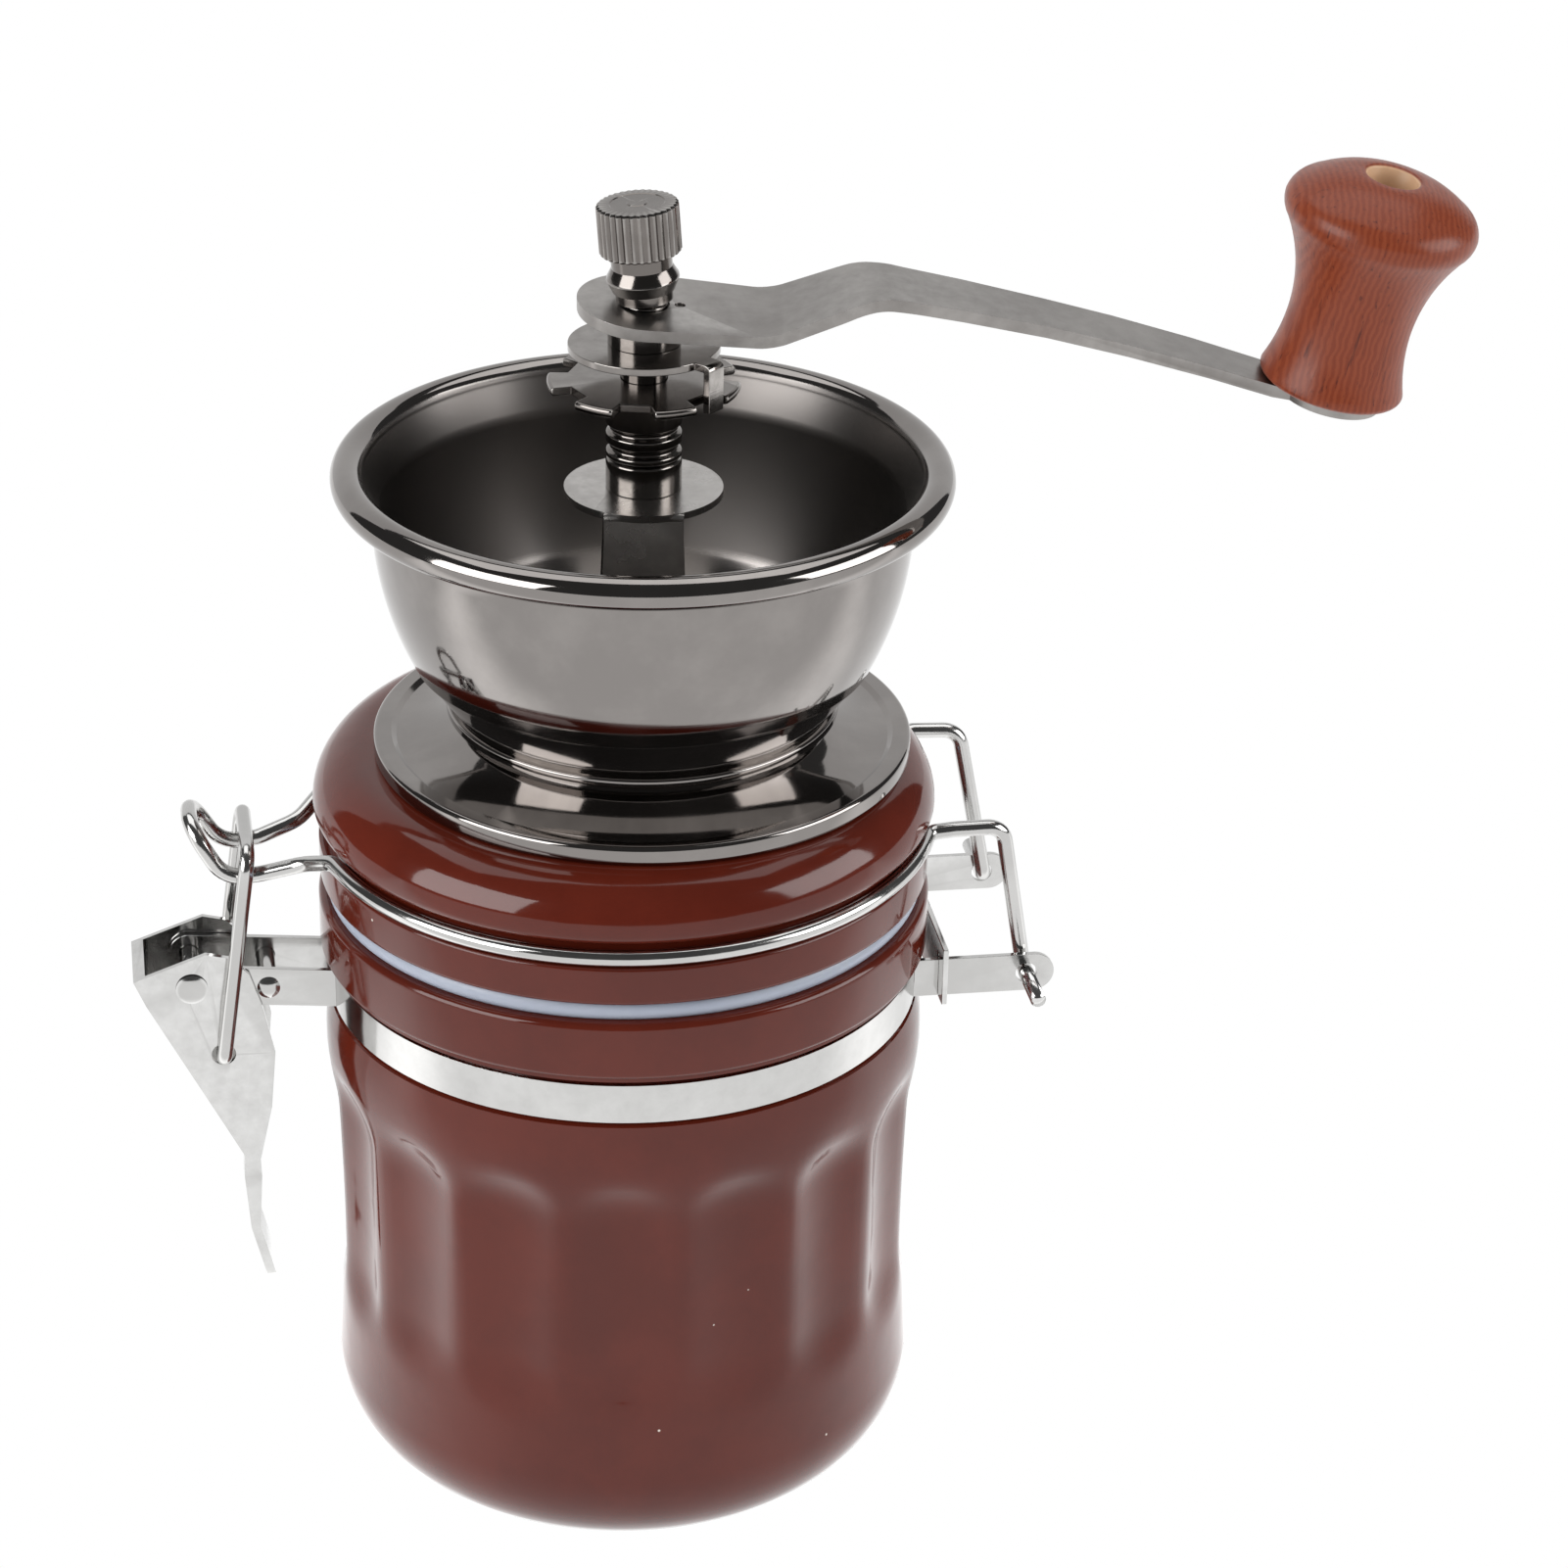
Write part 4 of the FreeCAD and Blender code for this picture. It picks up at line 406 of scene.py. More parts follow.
def startGroup(name, inputs, outputs):
    group = bpy.data.node_groups.new(name, "ShaderNodeTree")
    for label, kind, value in inputs:
        socket = group.interface.new_socket(name=label, in_out="INPUT", socket_type=kind)
        socket.default_value = value
    for label, kind in outputs:
        group.interface.new_socket(name=label, in_out="OUTPUT", socket_type=kind)
    return group, group.nodes.new("NodeGroupInput"), group.nodes.new("NodeGroupOutput")


def makeHandling():
    # faint smears and drift in the polish, which metal, glaze and varnish all show
    group, given, made = startGroup(
        "handling", [("Scale", "NodeSocketFloat", 60.0), ("Polished", "NodeSocketFloat", 0.1),
                     ("Dulled", "NodeSocketFloat", 0.25)],
        [("Roughness", "NodeSocketFloat"), ("Mask", "NodeSocketFloat")])
    cloud = noiseAt(group, objectPlace(group), given.outputs["Scale"], 5.0, 0.6)
    mask = spread(group, cloud, 0.42, 0.68, 0.0, 1.0)
    rough = spread(group, cloud, 0.38, 0.72, given.outputs["Polished"], given.outputs["Dulled"])
    group.links.new(rough, made.inputs["Roughness"])
    group.links.new(mask, made.inputs["Mask"])
    return group


def makeBrushing():
    # fine lines that run round a vertical axis or along the piece
    group, given, made = startGroup(
        "brushing",
        [("Across", "NodeSocketVector", (60.0, 60.0, 5200.0)), ("Strength", "NodeSocketFloat", 0.5)],
        [("Height", "NodeSocketFloat")])
    stretched = vectorStep(group, "MULTIPLY", objectPlace(group), given.outputs["Across"])
    lines = noiseAt(group, stretched[0], 1.0, 2.0, 0.5)
    group.links.new(calculate(group, "MULTIPLY", lines, given.outputs["Strength"]), made.inputs["Height"])
    return group


def makeWornEdges():
    # a broken line along sharp edges, where handling has rubbed them
    group, given, made = startGroup(
        "wornEdges", [("Start", "NodeSocketFloat", 0.515), ("Full", "NodeSocketFloat", 0.57)],
        [("Mask", "NodeSocketFloat")])
    shape = group.nodes.new("ShaderNodeNewGeometry").outputs["Pointiness"]
    breaks = noiseAt(group, objectPlace(group), 420.0, 3.0, 0.6)
    edge = spread(group, shape, given.outputs["Start"], given.outputs["Full"], 0.0, 1.0)
    group.links.new(calculate(group, "MULTIPLY", edge, breaks), made.inputs["Mask"])
    return group


handling = makeHandling()
brushing = makeBrushing()
wornEdges = makeWornEdges()


def startMaterial(name):
    material = bpy.data.materials.new(name)
    material.use_nodes = True
    tree = material.node_tree
    return material, tree, tree.nodes["Principled BSDF"]


def placeGroup(tree, group, **values):
    node = tree.nodes.new("ShaderNodeGroup")
    node.node_tree = group
    for label, value in values.items():
        node.inputs[label].default_value = value
    return node


def twoColours(tree, mask, low, high):
    mix = tree.nodes.new("ShaderNodeMix")
    mix.data_type = "RGBA"
    for value, index in ((low, 6), (high, 7)):
        if isinstance(value, tuple):
            mix.inputs[index].default_value = (*value, 1)
        else:
            tree.links.new(value, mix.inputs[index])
    tree.links.new(mask, mix.inputs[0])
    return mix.outputs[2]


def bumped(tree, shader, height, depth, amount=1.0):
    bump = tree.nodes.new("ShaderNodeBump")
    bump.inputs["Distance"].default_value = depth
    bump.inputs["Strength"].default_value = amount
    tree.links.new(height, bump.inputs["Height"])
    tree.links.new(bump.outputs["Normal"], shader.inputs["Normal"])


metals = {
    "blackNickel": {
        "low": (0.255, 0.238, 0.228), "high": (0.295, 0.276, 0.264), "polished": 0.05, "dulled": 0.11,
        "lines": (40.0, 40.0, 4200.0), "depth": 0.000004, "edge": (0.45, 0.43, 0.41),
        # the inside colour is painted shade for the bowl's hollow; insideRough is its real satin finish
        "inside": (0.17, 0.158, 0.150), "insideRough": 0.34},
    "darkPlating": {
        "low": (0.17, 0.155, 0.145), "high": (0.23, 0.212, 0.20), "polished": 0.12, "dulled": 0.22,
        "lines": (60.0, 60.0, 5200.0), "depth": 0.000006, "edge": (0.50, 0.48, 0.46)},
    "satinPlating": {
        "low": (0.34, 0.325, 0.31), "high": (0.42, 0.405, 0.39), "polished": 0.24, "dulled": 0.34,
        "lines": (60.0, 5200.0, 300.0), "depth": 0.000006, "edge": (0.62, 0.60, 0.58)},
    "armSteel": {
        "low": (0.22, 0.205, 0.195), "high": (0.31, 0.293, 0.28), "polished": 0.28, "dulled": 0.38,
        "lines": (70.0, 3800.0, 900.0), "depth": 0.000006, "edge": (0.62, 0.60, 0.58)},
    "stainless": {
        "low": (0.54, 0.535, 0.525), "high": (0.62, 0.615, 0.605), "polished": 0.10, "dulled": 0.20,
        "lines": (60.0, 60.0, 5200.0), "depth": 0.000006, "edge": (0.80, 0.80, 0.79)},
    "fastenerSteel": {
        "low": (0.40, 0.40, 0.39), "high": (0.50, 0.50, 0.49), "polished": 0.2, "dulled": 0.36,
        "lines": (300.0, 300.0, 2400.0), "depth": 0.000008, "edge": (0.7, 0.7, 0.69)}}


def facesAxis(tree):
    # 1 where the surface faces the mill's own axis, 0 where it faces out, up or down
    out = vectorStep(tree, "SUBTRACT", objectPlace(tree), (millAxis[0] * mm, millAxis[1] * mm, 0))
    flat = vectorStep(tree, "MULTIPLY", out[0], (1, 1, 0))
    unit = vectorStep(tree, "NORMALIZE", flat[0])
    normal = tree.nodes.new("ShaderNodeTexCoord").outputs["Normal"]
    along = vectorStep(tree, "DOT_PRODUCT", unit[0], normal)
    return spread(tree, along["Value"], -0.75, -0.93, 0.0, 1.0)


def makeMetal(name):
    look = metals[name]
    material, tree, shader = startMaterial(name)
    shader.inputs["Metallic"].default_value = 1.0
    marks = placeGroup(tree, handling, Scale=55.0, Polished=look["polished"], Dulled=look["dulled"])
    rough = marks.outputs["Roughness"]
    colour = twoColours(tree, marks.outputs["Mask"], look["low"], look["high"])
    if "inside" in look:
        # the bowl's inside was left satin, and its darker colour there is painted shade in the hollow
        inwardSatinAndShade = facesAxis(tree)
        satin = spread(tree, inwardSatinAndShade, 0.0, 1.0, 0.0, look["insideRough"], "LINEAR")
        rough = calculate(tree, "MAXIMUM", rough, satin)
        colour = twoColours(tree, inwardSatinAndShade, colour, look["inside"])
    tree.links.new(rough, shader.inputs["Roughness"])
    edges = placeGroup(tree, wornEdges)
    tree.links.new(twoColours(tree, edges.outputs["Mask"], colour, look["edge"]), shader.inputs["Base Color"])
    lines = placeGroup(tree, brushing, Across=look["lines"])
    bumped(tree, shader, lines.outputs["Height"], look["depth"])
    return material


glazeLook = {
    "deep": (0.076, 0.0100, 0.0047), "mid": (0.092, 0.0125, 0.0060), "thin": (0.13, 0.023, 0.012),
    "speck": (0.62, 0.56, 0.50), "speckScale": 125.0, "bend": 1.43, "coat": 0.05, "coatRough": 0.3}


def makeGlaze():
    material, tree, shader = startMaterial("redGlaze")
    place = objectPlace(tree)
    cloud = noiseAt(tree, place, 46.0, 6.0, 0.62)
    base = twoColours(tree, spread(tree, cloud, 0.36, 0.66, 0.0, 1.0), glazeLook["deep"], glazeLook["mid"])
    edges = placeGroup(tree, wornEdges, Start=0.52, Full=0.58)
    base = twoColours(tree, edges.outputs["Mask"], base, glazeLook["thin"])
    cells = tree.nodes.new("ShaderNodeTexVoronoi")
    cells.inputs["Scale"].default_value = glazeLook["speckScale"]
    tree.links.new(place, cells.inputs["Vector"])
    few = noiseAt(tree, place, 70.0, 2.0, 0.5)
    dot = spread(tree, cells.outputs["Distance"], 0.016, 0.034, 1.0, 0.0)
    specks = calculate(tree, "MULTIPLY", dot, spread(tree, few, 0.54, 0.58, 0.0, 1.0))
    tree.links.new(twoColours(tree, specks, base, glazeLook["speck"]), shader.inputs["Base Color"])
    marks = placeGroup(tree, handling, Scale=38.0, Polished=0.07, Dulled=0.12)
    tree.links.new(marks.outputs["Roughness"], shader.inputs["Roughness"])
    shader.inputs["IOR"].default_value = glazeLook["bend"]
    shader.inputs["Coat Weight"].default_value = glazeLook["coat"]
    shader.inputs["Coat Roughness"].default_value = glazeLook["coatRough"]
    ripple = noiseAt(tree, place, 105.0, 2.0, 0.4)
    bumped(tree, shader, ripple, 0.00022, 0.5)
    return material


knobSizes = {"place": (105.820, -12.912, 184.671), "lean": 10.8, "roll": 4.5, "segments": 96}
knobTurn = Euler((math.radians(knobSizes["roll"]), math.radians(knobSizes["lean"]), millTurn), "YXZ")

woodLook = {
    "dark": (0.060, 0.011, 0.007), "mid": (0.165, 0.031, 0.012), "light": (0.203, 0.043, 0.017),
    "raw": (0.56, 0.36, 0.22), "rawRadius": 4.0, "stainRadius": 4.3, "fibres": (1500.0, 1500.0, 60.0),
    "shine": 0.25, "coat": 0.06, "coatRough": 0.2}
bandSettings = {"Scale": 340.0, "Distortion": 4.0, "Detail": 3.0, "Detail Scale": 1.2}


def makeStainedWood():
    # grain runs along the knob's own axis, which leans out with the arm's end
    material, tree, shader = startMaterial("stainedWood")
    turn = tree.nodes.new("ShaderNodeMapping")
    turn.vector_type = "TEXTURE"
    turn.inputs["Location"].default_value = [size * mm for size in knobSizes["place"]]
    turn.inputs["Rotation"].default_value = knobTurn.to_matrix().to_euler("XYZ")
    tree.links.new(objectPlace(tree), turn.inputs["Vector"])
    stretch = tree.nodes.new("ShaderNodeMapping")
    stretch.inputs["Scale"].default_value = woodLook["fibres"]
    tree.links.new(turn.outputs[0], stretch.inputs["Vector"])
    fibres = noiseAt(tree, stretch.outputs[0], 1.0, 5.0, 0.65)
    bands = tree.nodes.new("ShaderNodeTexWave")
    bands.wave_type = "BANDS"
    bands.bands_direction = "X"
    for label, value in bandSettings.items():
        bands.inputs[label].default_value = value
    tree.links.new(turn.outputs[0], bands.inputs["Vector"])
    year = spread(tree, bands.outputs["Fac"], 0.15, 0.9, 0.0, 1.0)
    base = twoColours(tree, year, woodLook["mid"], woodLook["light"])
    pores = spread(tree, fibres, 0.56, 0.70, 0.0, 0.8)
    base = twoColours(tree, pores, base, woodLook["dark"])
    flat = vectorStep(tree, "MULTIPLY", turn.outputs[0], (1, 1, 0))
    radius = vectorStep(tree, "LENGTH", flat[0])["Value"]
    inside = spread(tree, radius, woodLook["rawRadius"] * mm, woodLook["stainRadius"] * mm, 1.0, 0.0)
    tree.links.new(twoColours(tree, inside, base, woodLook["raw"]), shader.inputs["Base Color"])
    marks = placeGroup(tree, handling, Scale=90.0, Polished=0.3, Dulled=0.44)
    tree.links.new(marks.outputs["Roughness"], shader.inputs["Roughness"])
    shader.inputs["Specular IOR Level"].default_value = woodLook["shine"]
    shader.inputs["Coat Weight"].default_value = woodLook["coat"]
    shader.inputs["Coat Roughness"].default_value = woodLook["coatRough"]
    bumped(tree, shader, fibres, 0.00006, 0.7)
    return material


siliconeLook = {
    "low": (0.27, 0.30, 0.37), "high": (0.36, 0.39, 0.46), "depth": 0.35, "reach": (0.004, 0.004, 0.004)}


def makeSilicone():
    material, tree, shader = startMaterial("silicone")
    cloud = noiseAt(tree, objectPlace(tree), 90.0, 3.0, 0.5)
    colour = twoColours(tree, cloud, siliconeLook["low"], siliconeLook["high"])
    tree.links.new(colour, shader.inputs["Base Color"])
    marks = placeGroup(tree, handling, Scale=120.0, Polished=0.34, Dulled=0.5)
    tree.links.new(marks.outputs["Roughness"], shader.inputs["Roughness"])
    shader.inputs["Subsurface Weight"].default_value = siliconeLook["depth"]
    shader.inputs["Subsurface Radius"].default_value = siliconeLook["reach"]
    shader.inputs["Subsurface Scale"].default_value = 1.0
    bumped(tree, shader, cloud, 0.00005, 0.4)
    return material


ironLook = {"low": (0.09, 0.085, 0.08), "high": (0.2, 0.19, 0.18), "metal": 0.85}


def makeBurrIron():
    material, tree, shader = startMaterial("burrIron")
    grit = noiseAt(tree, objectPlace(tree), 900.0, 4.0, 0.6)
    colour = twoColours(tree, grit, ironLook["low"], ironLook["high"])
    tree.links.new(colour, shader.inputs["Base Color"])
    shader.inputs["Metallic"].default_value = ironLook["metal"]
    marks = placeGroup(tree, handling, Scale=80.0, Polished=0.42, Dulled=0.6)
    tree.links.new(marks.outputs["Roughness"], shader.inputs["Roughness"])
    bumped(tree, shader, grit, 0.00012, 0.6)
    return material


blackNickel = makeMetal("blackNickel")
darkPlating = makeMetal("darkPlating")
satinPlating = makeMetal("satinPlating")
armSteel = makeMetal("armSteel")
stainless = makeMetal("stainless")
fastenerSteel = makeMetal("fastenerSteel")
redGlaze = makeGlaze()
stainedWood = makeStainedWood()
silicone = makeSilicone()
burrIron = makeBurrIron()
print("materials made")


# Jar: a thrown shell, with shallow flutes pressed into its waist

jarSizes = {
    "segments": 192, "flutes": 16, "fluteRadius": 24.0, "fluteFloor": 44.7, "fluteBottom": 36.0,
    "fluteTop": 64.0, "endRound": 12.0, "turn": -7.5, "ridgeSoftness": 0.55, "ringStep": 1.6,
    "wall": {"bottom": 20, "top": 80, "radius": 45.5}, "softened": {"bottom": 22, "top": 78, "radius": 43}}


def flutedRadius(outer, height, away):
    # the radius of the wall at that height and that many degrees from a flute's middle
    over = max(height - jarSizes["fluteTop"], jarSizes["fluteBottom"] - height, 0)
    if over >= jarSizes["endRound"]:
        return outer
    lift = jarSizes["endRound"] - math.sqrt(jarSizes["endRound"] ** 2 - over ** 2)
    cutter = jarSizes["fluteRadius"] - lift
    centre = jarSizes["fluteFloor"] + jarSizes["fluteRadius"]
    sine = centre * math.sin(math.radians(away))
    if cutter <= abs(sine):
        return outer
    cut = centre * math.cos(math.radians(away)) - math.sqrt(cutter ** 2 - sine ** 2)
    soft = jarSizes["ridgeSoftness"]
    if cut - outer > 30 * soft:
        return outer
    return -soft * math.log(math.exp(-cut / soft) + math.exp(-outer / soft))


def makeJar():
    # the waist's rings stand close together, so that the flutes can be pressed in
    waist = profilePoints([(47.5, 15.1), (48.1, 74.0, 350.0, "right")], jarSizes["ringStep"])
    jar = turned("jar", [
        (14.0, 0.0), (31.4, 0.0), (32.4, 0.05), (47.5, 15.1, 15.1, "left"), *waist[1:],
        (47.2, 82.5, 30.0, "left"), (46.0, 83.0), (46.0, 90.1), (47.5, 90.7), (47.5, 91.6),
        (48.5, 92.5, 0.9, "left"), (48.5, 99.9), (47.3, 101.1, 1.2, "left"), (41.4, 101.1),
        (40.2, 99.9, 1.2, "left"), (40.2, 91.6), (41.5, 83.3), (41.5, 19.5), (28.5, 6.5, 13.0, "right"),
        (8.0, 6.5)], jarSizes["segments"], jarAxis, "capped", longest=4.0)
    startEditing(jar)
    shape = bmesh.from_edit_mesh(jar.data)
    wall, softened = jarSizes["wall"], jarSizes["softened"]
    rings = {}
    pitch = 360.0 / jarSizes["flutes"]
    for vertex in shape.verts:
        radius = math.hypot(vertex.co.x, vertex.co.y) / mm
        height = vertex.co.z / mm
        if radius < wall["radius"] or not wall["bottom"] < height < wall["top"]:
            continue
        angle = math.degrees(math.atan2(vertex.co.y, vertex.co.x)) - jarSizes["turn"]
        away = abs((angle + pitch / 2) % pitch - pitch / 2)
        ring = rings.setdefault((round(height, 2), round(away, 2)), (radius, []))
        ring[1].append(vertex.index)
    for (height, away), (radius, members) in rings.items():
        factor = flutedRadius(radius, height, away) / radius
        if factor > 0.9999:
            continue
        chosen = set(members)
        pickVertices(jar, lambda index, place: index in chosen)
        bpy.ops.transform.resize(value=(factor, factor, 1), center_override=(0, 0, height * mm))
    pickVertices(jar, lambda index, place: (
        softened["bottom"] < place.z / mm < softened["top"]
        and math.hypot(place.x, place.y) / mm > softened["radius"]))
    bpy.ops.mesh.vertices_smooth(factor=0.4, repeat=3)
    stopEditing()
    smooth(jar, 42)
    return finishPiece(jar, "jar", redGlaze, ["jar_body"])


makeJar()
print("jar made")


# Lid, its gasket and the hopper

def makeLid():
    lid = turned("lidBody", [
        (38.2, 98.0), (38.2, 104.1), (47.2, 104.1), (48.2, 105.1, 1.0, "left"), (48.2, 110.0),
        (47.6, 110.6, 0.6, "left"), (46.9, 110.6), (46.9, 114.6), (48.25, 114.9),
        (48.95, 116.4, 2.4, "left"), (40.95, 124.4, 8.0, "left"), (25.6, 124.4), (25.6, 114.0),
        (32.5, 114.0), (32.5, 98.0)],
        192, jarAxis, innerFrom=(25.6, 124.4), longest=3.0)
    smooth(lid, 42)
    return finishPiece(lid, "lid", redGlaze, ["lid"])


def makeGasket():
    gasket = dressed("lid_gasket", "gasket", edge=0)
    return finishPiece(gasket, "lid", silicone, ["lid_gasket"])


def makeHopperBase():
    base = turned("hopperBase", [
        (26.0, 124.4), (41.2, 124.4), (42.0, 125.2, 0.8, "left"), (42.0, 126.8), (41.2, 127.6, 0.8, "left"),
        (39.2, 127.6), (38.4, 127.0), (29.5, 130.0, 16.0, "right"), (29.5, 131.3), (30.2, 131.4),
        (30.6, 131.8, 0.4, "left"), (30.6, 132.6), (30.2, 133.0, 0.4, "left"), (26.0, 133.0)],
        192, millAxis, longest=1.5)
    smooth(base, 34)
    return finishPiece(base, "lid", blackNickel, ["hopper_base"])


def makeHopperBowl():
    bowl = turned("hopperBowl", [
        (26.0, 133.0), (29.6, 133.0), (35.1, 140.6), (36.0, 141.5, 1.2, "left"), (41.4, 166.0, 50.0, "left"),
        (42.93, 168.7), (45.0, 167.6, 2.5, "left"), (47.5, 170.1, 2.5, "left"), (45.0, 172.6, 2.5, "left"),
        (42.5, 170.1, 2.5, "left"), (40.2, 166.0), (34.8, 141.5, 48.8, "right"), (28.4, 134.2), (26.0, 134.2)],
        192, millAxis, longest=2.0)
    smooth(bowl, 34)
    return finishPiece(bowl, "lid", blackNickel, ["hopper_bowl"])


makeLid()
makeGasket()
makeHopperBase()
makeHopperBowl()
print("lid and hopper made")


# Knob and thumb nut

def makeKnob():
    knob = turned("woodKnob", [
        (2.08, 0.3), (10.1, 0.3), (11.1, 1.3, 1.0, "left"), (9.4, 11.0, 30.0, "right"),
        (12.7, 23.9, 27.0, "right"), (13.7, 25.6), (14.75, 28.3, 4.0, "left"), (12.6, 31.4, 4.0, "left"),
        (4.6, 34.5, 17.0, "left"), (3.95, 34.1, 0.9, "left"), (3.95, 23.5), (2.08, 23.5)],
        knobSizes["segments"], jarAxis, longest=1.2)
    knob.rotation_mode = "YXZ"
    knob.rotation_euler = knobTurn
    knob.location = [size * mm for size in knobSizes["place"]]
    settle(knob)
    smooth(knob, 40)
    return finishPiece(knob, "knob", stainedWood, ["knob"])


nutSizes = {"bottom": 198.09, "radius": 6.2, "lean": 4.5, "ridges": 34, "perRidge": 6, "ridgeDepth": 0.3}
grooves = {"shares": (1.0, 0.75, 0.2), "radius": 5.8, "bottom": 7.3, "top": 14.98}


def makeThumbNut():
    low, wide, perRidge = nutSizes["bottom"], nutSizes["radius"], nutSizes["perRidge"]
    foot = (millAxis[0] * mm, millAxis[1] * mm, low * mm)
    nut = turned("thumbNut", [
        (2.55, low), (4.3, low), (4.3, low + 1.5), (4.7, low + 1.5), (5.5, low + 3.3), (5.45, low + 3.7),
        (4.6, low + 5.2), (4.6, low + 7.2), (5.9, low + 7.4), (wide, low + 7.7), (wide, low + 8.0),
        (wide, low + 11.3), (wide, low + 14.4), (wide, low + 14.65), (5.9, low + 14.95), (4.2, low + 15.0),
        (4.0, low + 14.9), (1.6, low + 14.9), (1.4, low + 15.0), (0.5, low + 15.0)],
        nutSizes["ridges"] * perRidge, millAxis, "capped")
    startEditing(nut)
    for step, share in enumerate(grooves["shares"]):
        factor = 1 - nutSizes["ridgeDepth"] * share / wide

        def inGroove(index, place):
            # columns that many steps from a groove's middle
            column = index % perRidge
            radius = math.hypot(place.x - foot[0], place.y - foot[1]) / mm
            return (min(column, perRidge - column) == step and radius > grooves["radius"]
                    and grooves["bottom"] < place.z / mm - low < grooves["top"])

        pickVertices(nut, inGroove)
        bpy.ops.transform.resize(value=(factor, factor, 1), center_override=foot)
    bpy.ops.mesh.select_all(action="SELECT")
    bpy.ops.transform.rotate(
        value=math.radians(nutSizes["lean"]), orient_axis="Y", orient_type="GLOBAL", center_override=foot)
    stopEditing()
    smooth(nut, 24)
    return finishPiece(nut, "crank", darkPlating, ["thumb_nut"])


makeKnob()
makeThumbNut()
print("knob and nut made")


# Pressed, bent and drawn metal, from merged copies of the solids

# each node's piece: its name, body, material and slot, its broken edge's width, and the angle kept sharp
metalPieces = {
    "strap_front": ("strapFront", "jar", stainless, "stainless", 0.12, 30),
    "strap_back": ("strapBack", "jar", stainless, "stainless", 0.12, 30),
    "hinge_retainer": ("hingeRetainer", "jar", stainless, "stainless", 0.15, 30),
    "clasp_lever": ("claspLever", "clasp_lever", stainless, "stainless", 0.15, 30),
    "clasp_loop": ("claspLoop", "clasp_loop", stainless, "stainless", 0, 50),
    "lid_bail": ("lidBail", "lid", stainless, "stainless", 0, 50),
    "bearing_bridge": ("bearingBridge", "lid", satinPlating, "dark_plating", 0.2, 30),
    "bridge_bushing": ("bridgeBushing", "lid", darkPlating, "dark_plating", 0.2, 30),
    "star_wheel": ("starWheel", "crank", darkPlating, "dark_plating", 0.2, 30),
    "lock_washer": ("lockWasher", "crank", darkPlating, "dark_plating", 0.15, 30),
    "arm_spacer": ("armSpacer", "crank", darkPlating, "dark_plating", 0.15, 30),
    "main_shaft": ("mainShaft", "crank", darkPlating, "dark_plating", 0.2, 30),
    "crank_arm": ("crankArm", "crank", armSteel, "arm_steel", 0.25, 30),
    "knob_pin": ("knobPin", "crank", fastenerSteel, "fastener_steel", 0.15, 30),
    "mounting_screws": ("mountingScrews", "lid", fastenerSteel, "fastener_steel", 0.15, 30),
    "bridge_screws": ("bridgeScrews", "lid", fastenerSteel, "fastener_steel", 0.1, 30),
    "thrust_washer": ("thrustWasher", "crank", fastenerSteel, "fastener_steel", 0.1, 30),
    "shaft_nut": ("shaftNut", "crank", fastenerSteel, "fastener_steel", 0.2, 30),
    "burr_spring": ("burrSpring", "crank", fastenerSteel, "fastener_steel", 0, 50),
    "burr_housing": ("burrHousing", "lid", burrIron, "burr_iron", 0.3, 30),
    "bearing_spider": ("bearingSpider", "lid", burrIron, "burr_iron", 0.3, 30),
    "outer_burr": ("outerBurr", "lid", burrIron, "burr_iron", 0.1, 30),
    "inner_burr": ("innerBurr", "crank", burrIron, "burr_iron", 0.1, 30)}

armFold = {"along": 18.8, "reach": 1.5, "width": 2.3, "steps": 6, "shortest": 5.0}


def acrossTheArm(middle, way):
    # the fold runs across the arm, a fixed way out from the mill's axis
    turn = Matrix.Rotation(-millTurn, 3, "Z")
    place = turn @ (middle / mm - Vector((*millAxis, 0)))
    return abs(place.x - armFold["along"]) < armFold["reach"] and abs((turn @ way).y) > armFold["shortest"] * mm


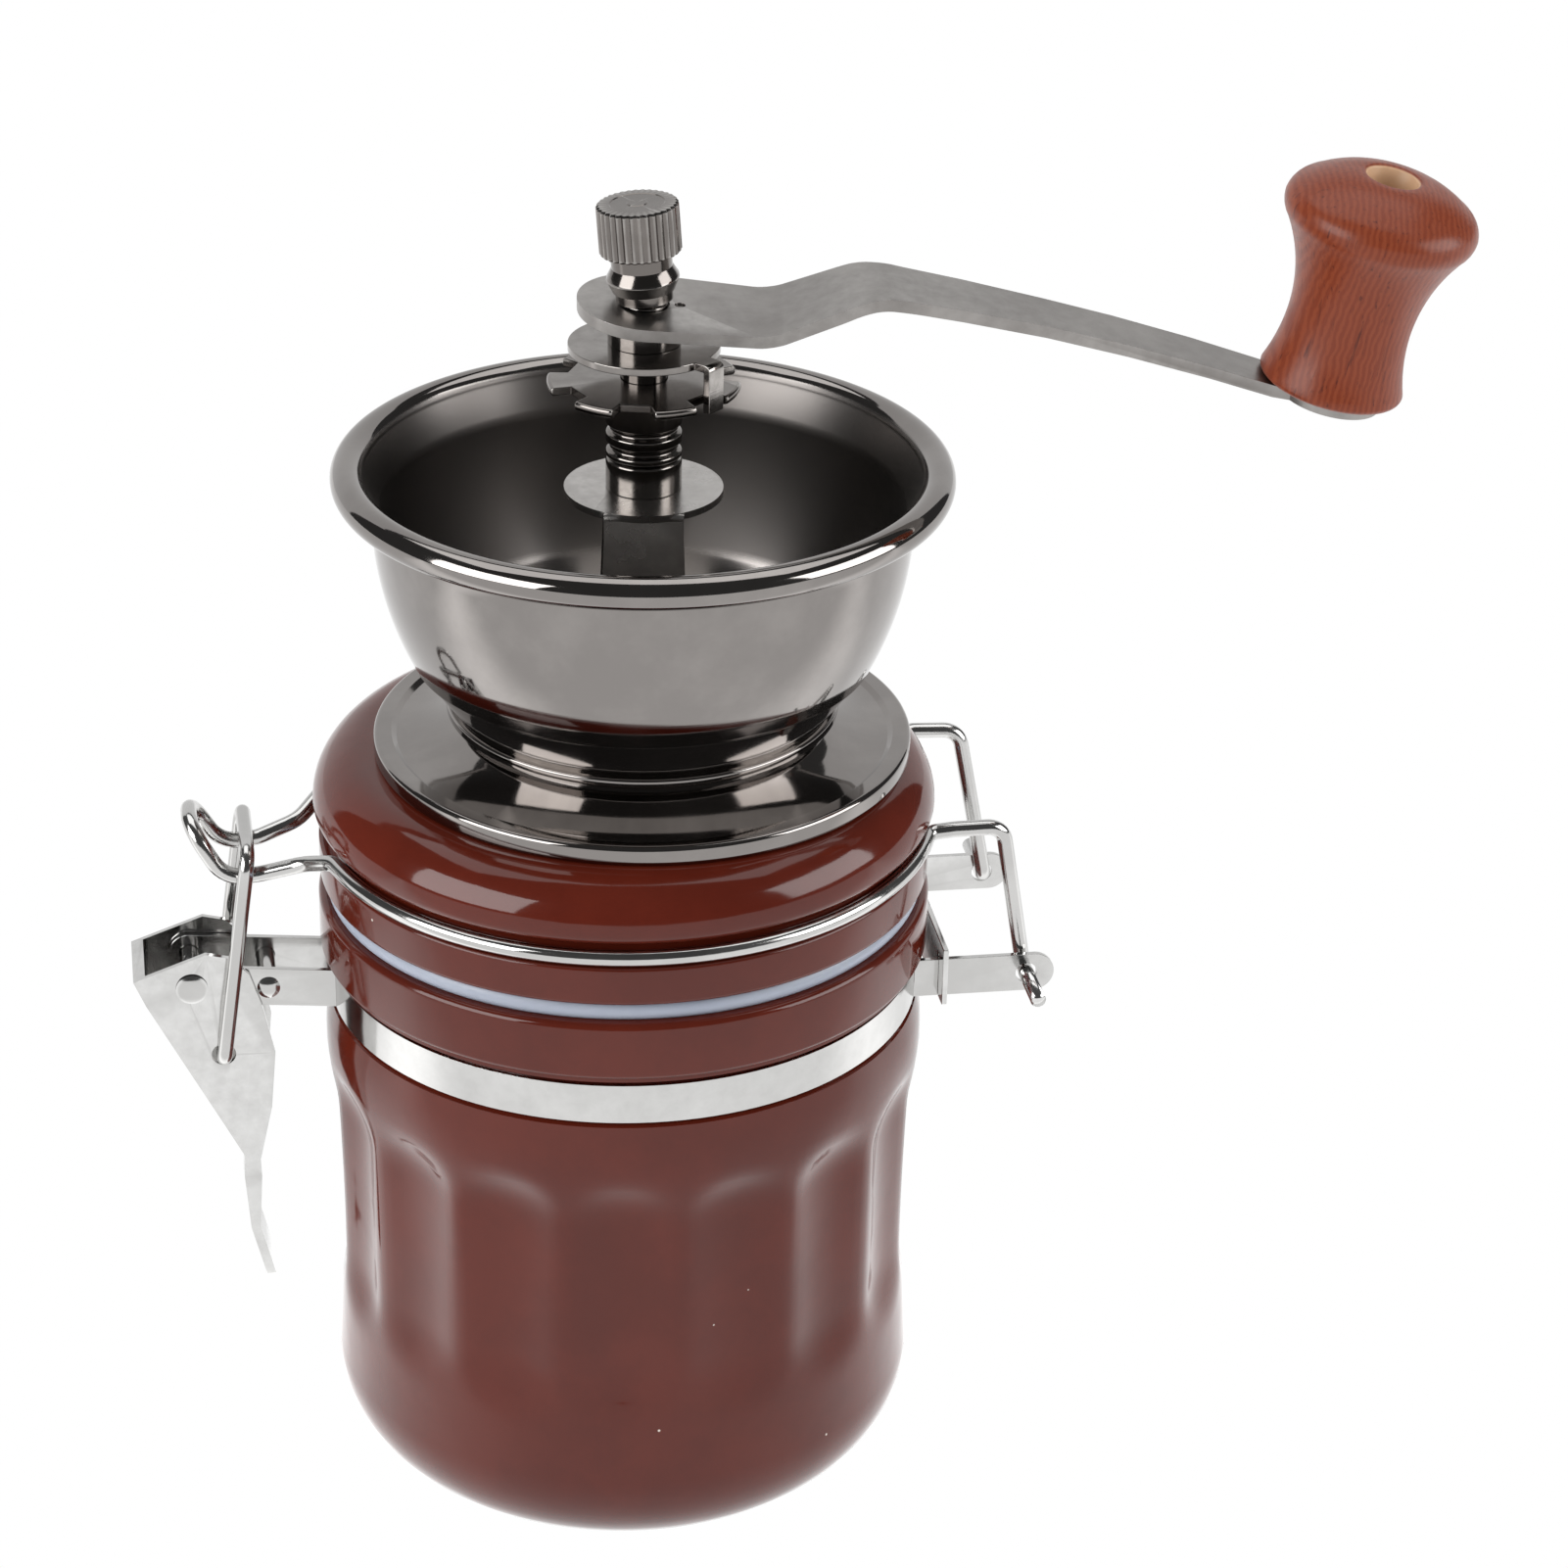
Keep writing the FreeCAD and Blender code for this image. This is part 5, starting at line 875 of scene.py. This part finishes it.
# the holes that the wires sit in are loose on the real one
looseHoles = {
    "clasp_lever": {"place": (-64.7, 76.6), "reach": 1.6, "factor": 1.5},
    "strap_front": {"place": (63.1, 86.4), "reach": 1.6, "factor": 1.3},
    "strap_back": {"place": (63.1, 86.4), "reach": 1.6, "factor": 1.3}}


def widenHole(piece, hole):
    across, height = hole["place"]
    startEditing(piece)
    pickVertices(piece, lambda index, place: math.hypot(
        place.x / mm - across, place.z / mm - height) < hole["reach"])
    bpy.ops.transform.resize(value=(hole["factor"], 1, hole["factor"]),
                             center_override=(across * mm, 0, height * mm))
    stopEditing()


for node, (name, body, material, slotName, edge, degrees) in metalPieces.items():
    fold = (acrossTheArm, armFold["width"], armFold["steps"]) if node == "crank_arm" else None
    piece = dressed(node, name, edge, degrees, flatten=1.0 if edge else 0, fold=fold)
    if node in looseHoles:
        widenHole(piece, looseHoles[node])
    finishPiece(piece, body, material, [node])
print("metal pieces made")


# Rivets: a straight shank between two domed heads, laid across the clasp

rivets = {
    "pivotRivet": {"node": "clasp_pivot_rivet", "place": (-69.2, 88.8), "head": 2.5, "shank": 1.5,
                   "under": 6.95, "rim": 7.1, "top": 7.55},
    "spacerRivet": {"node": "clasp_spacer_rivet", "place": (-57.2, 87.6), "head": 1.8, "shank": 1.5,
                    "under": 5.72, "rim": 5.87, "top": 6.4}}


def makeRivet(name, rivet):
    head, shank, under, rim, top = (rivet[size] for size in ("head", "shank", "under", "rim", "top"))
    rise = top - rim
    bend = (head * head + rise * rise) / (2 * rise)
    piece = turned(name, [
        (0.1, -top), (head, -rim, bend, "left"), (head, -under), (shank, -under), (shank, under),
        (head, under), (head, rim), (0.1, top, bend, "left")], 48, jarAxis, "capped", longest=0.5)
    piece.rotation_euler = (math.radians(90), 0, 0)
    piece.location = (rivet["place"][0] * mm, 0, rivet["place"][1] * mm)
    settle(piece)
    smooth(piece, 35)
    return finishPiece(piece, "jar", stainless, [rivet["node"]])


for name, rivet in rivets.items():
    makeRivet(name, rivet)
print("rivets made")

bpy.context.scene.view_settings.view_transform = "Standard"
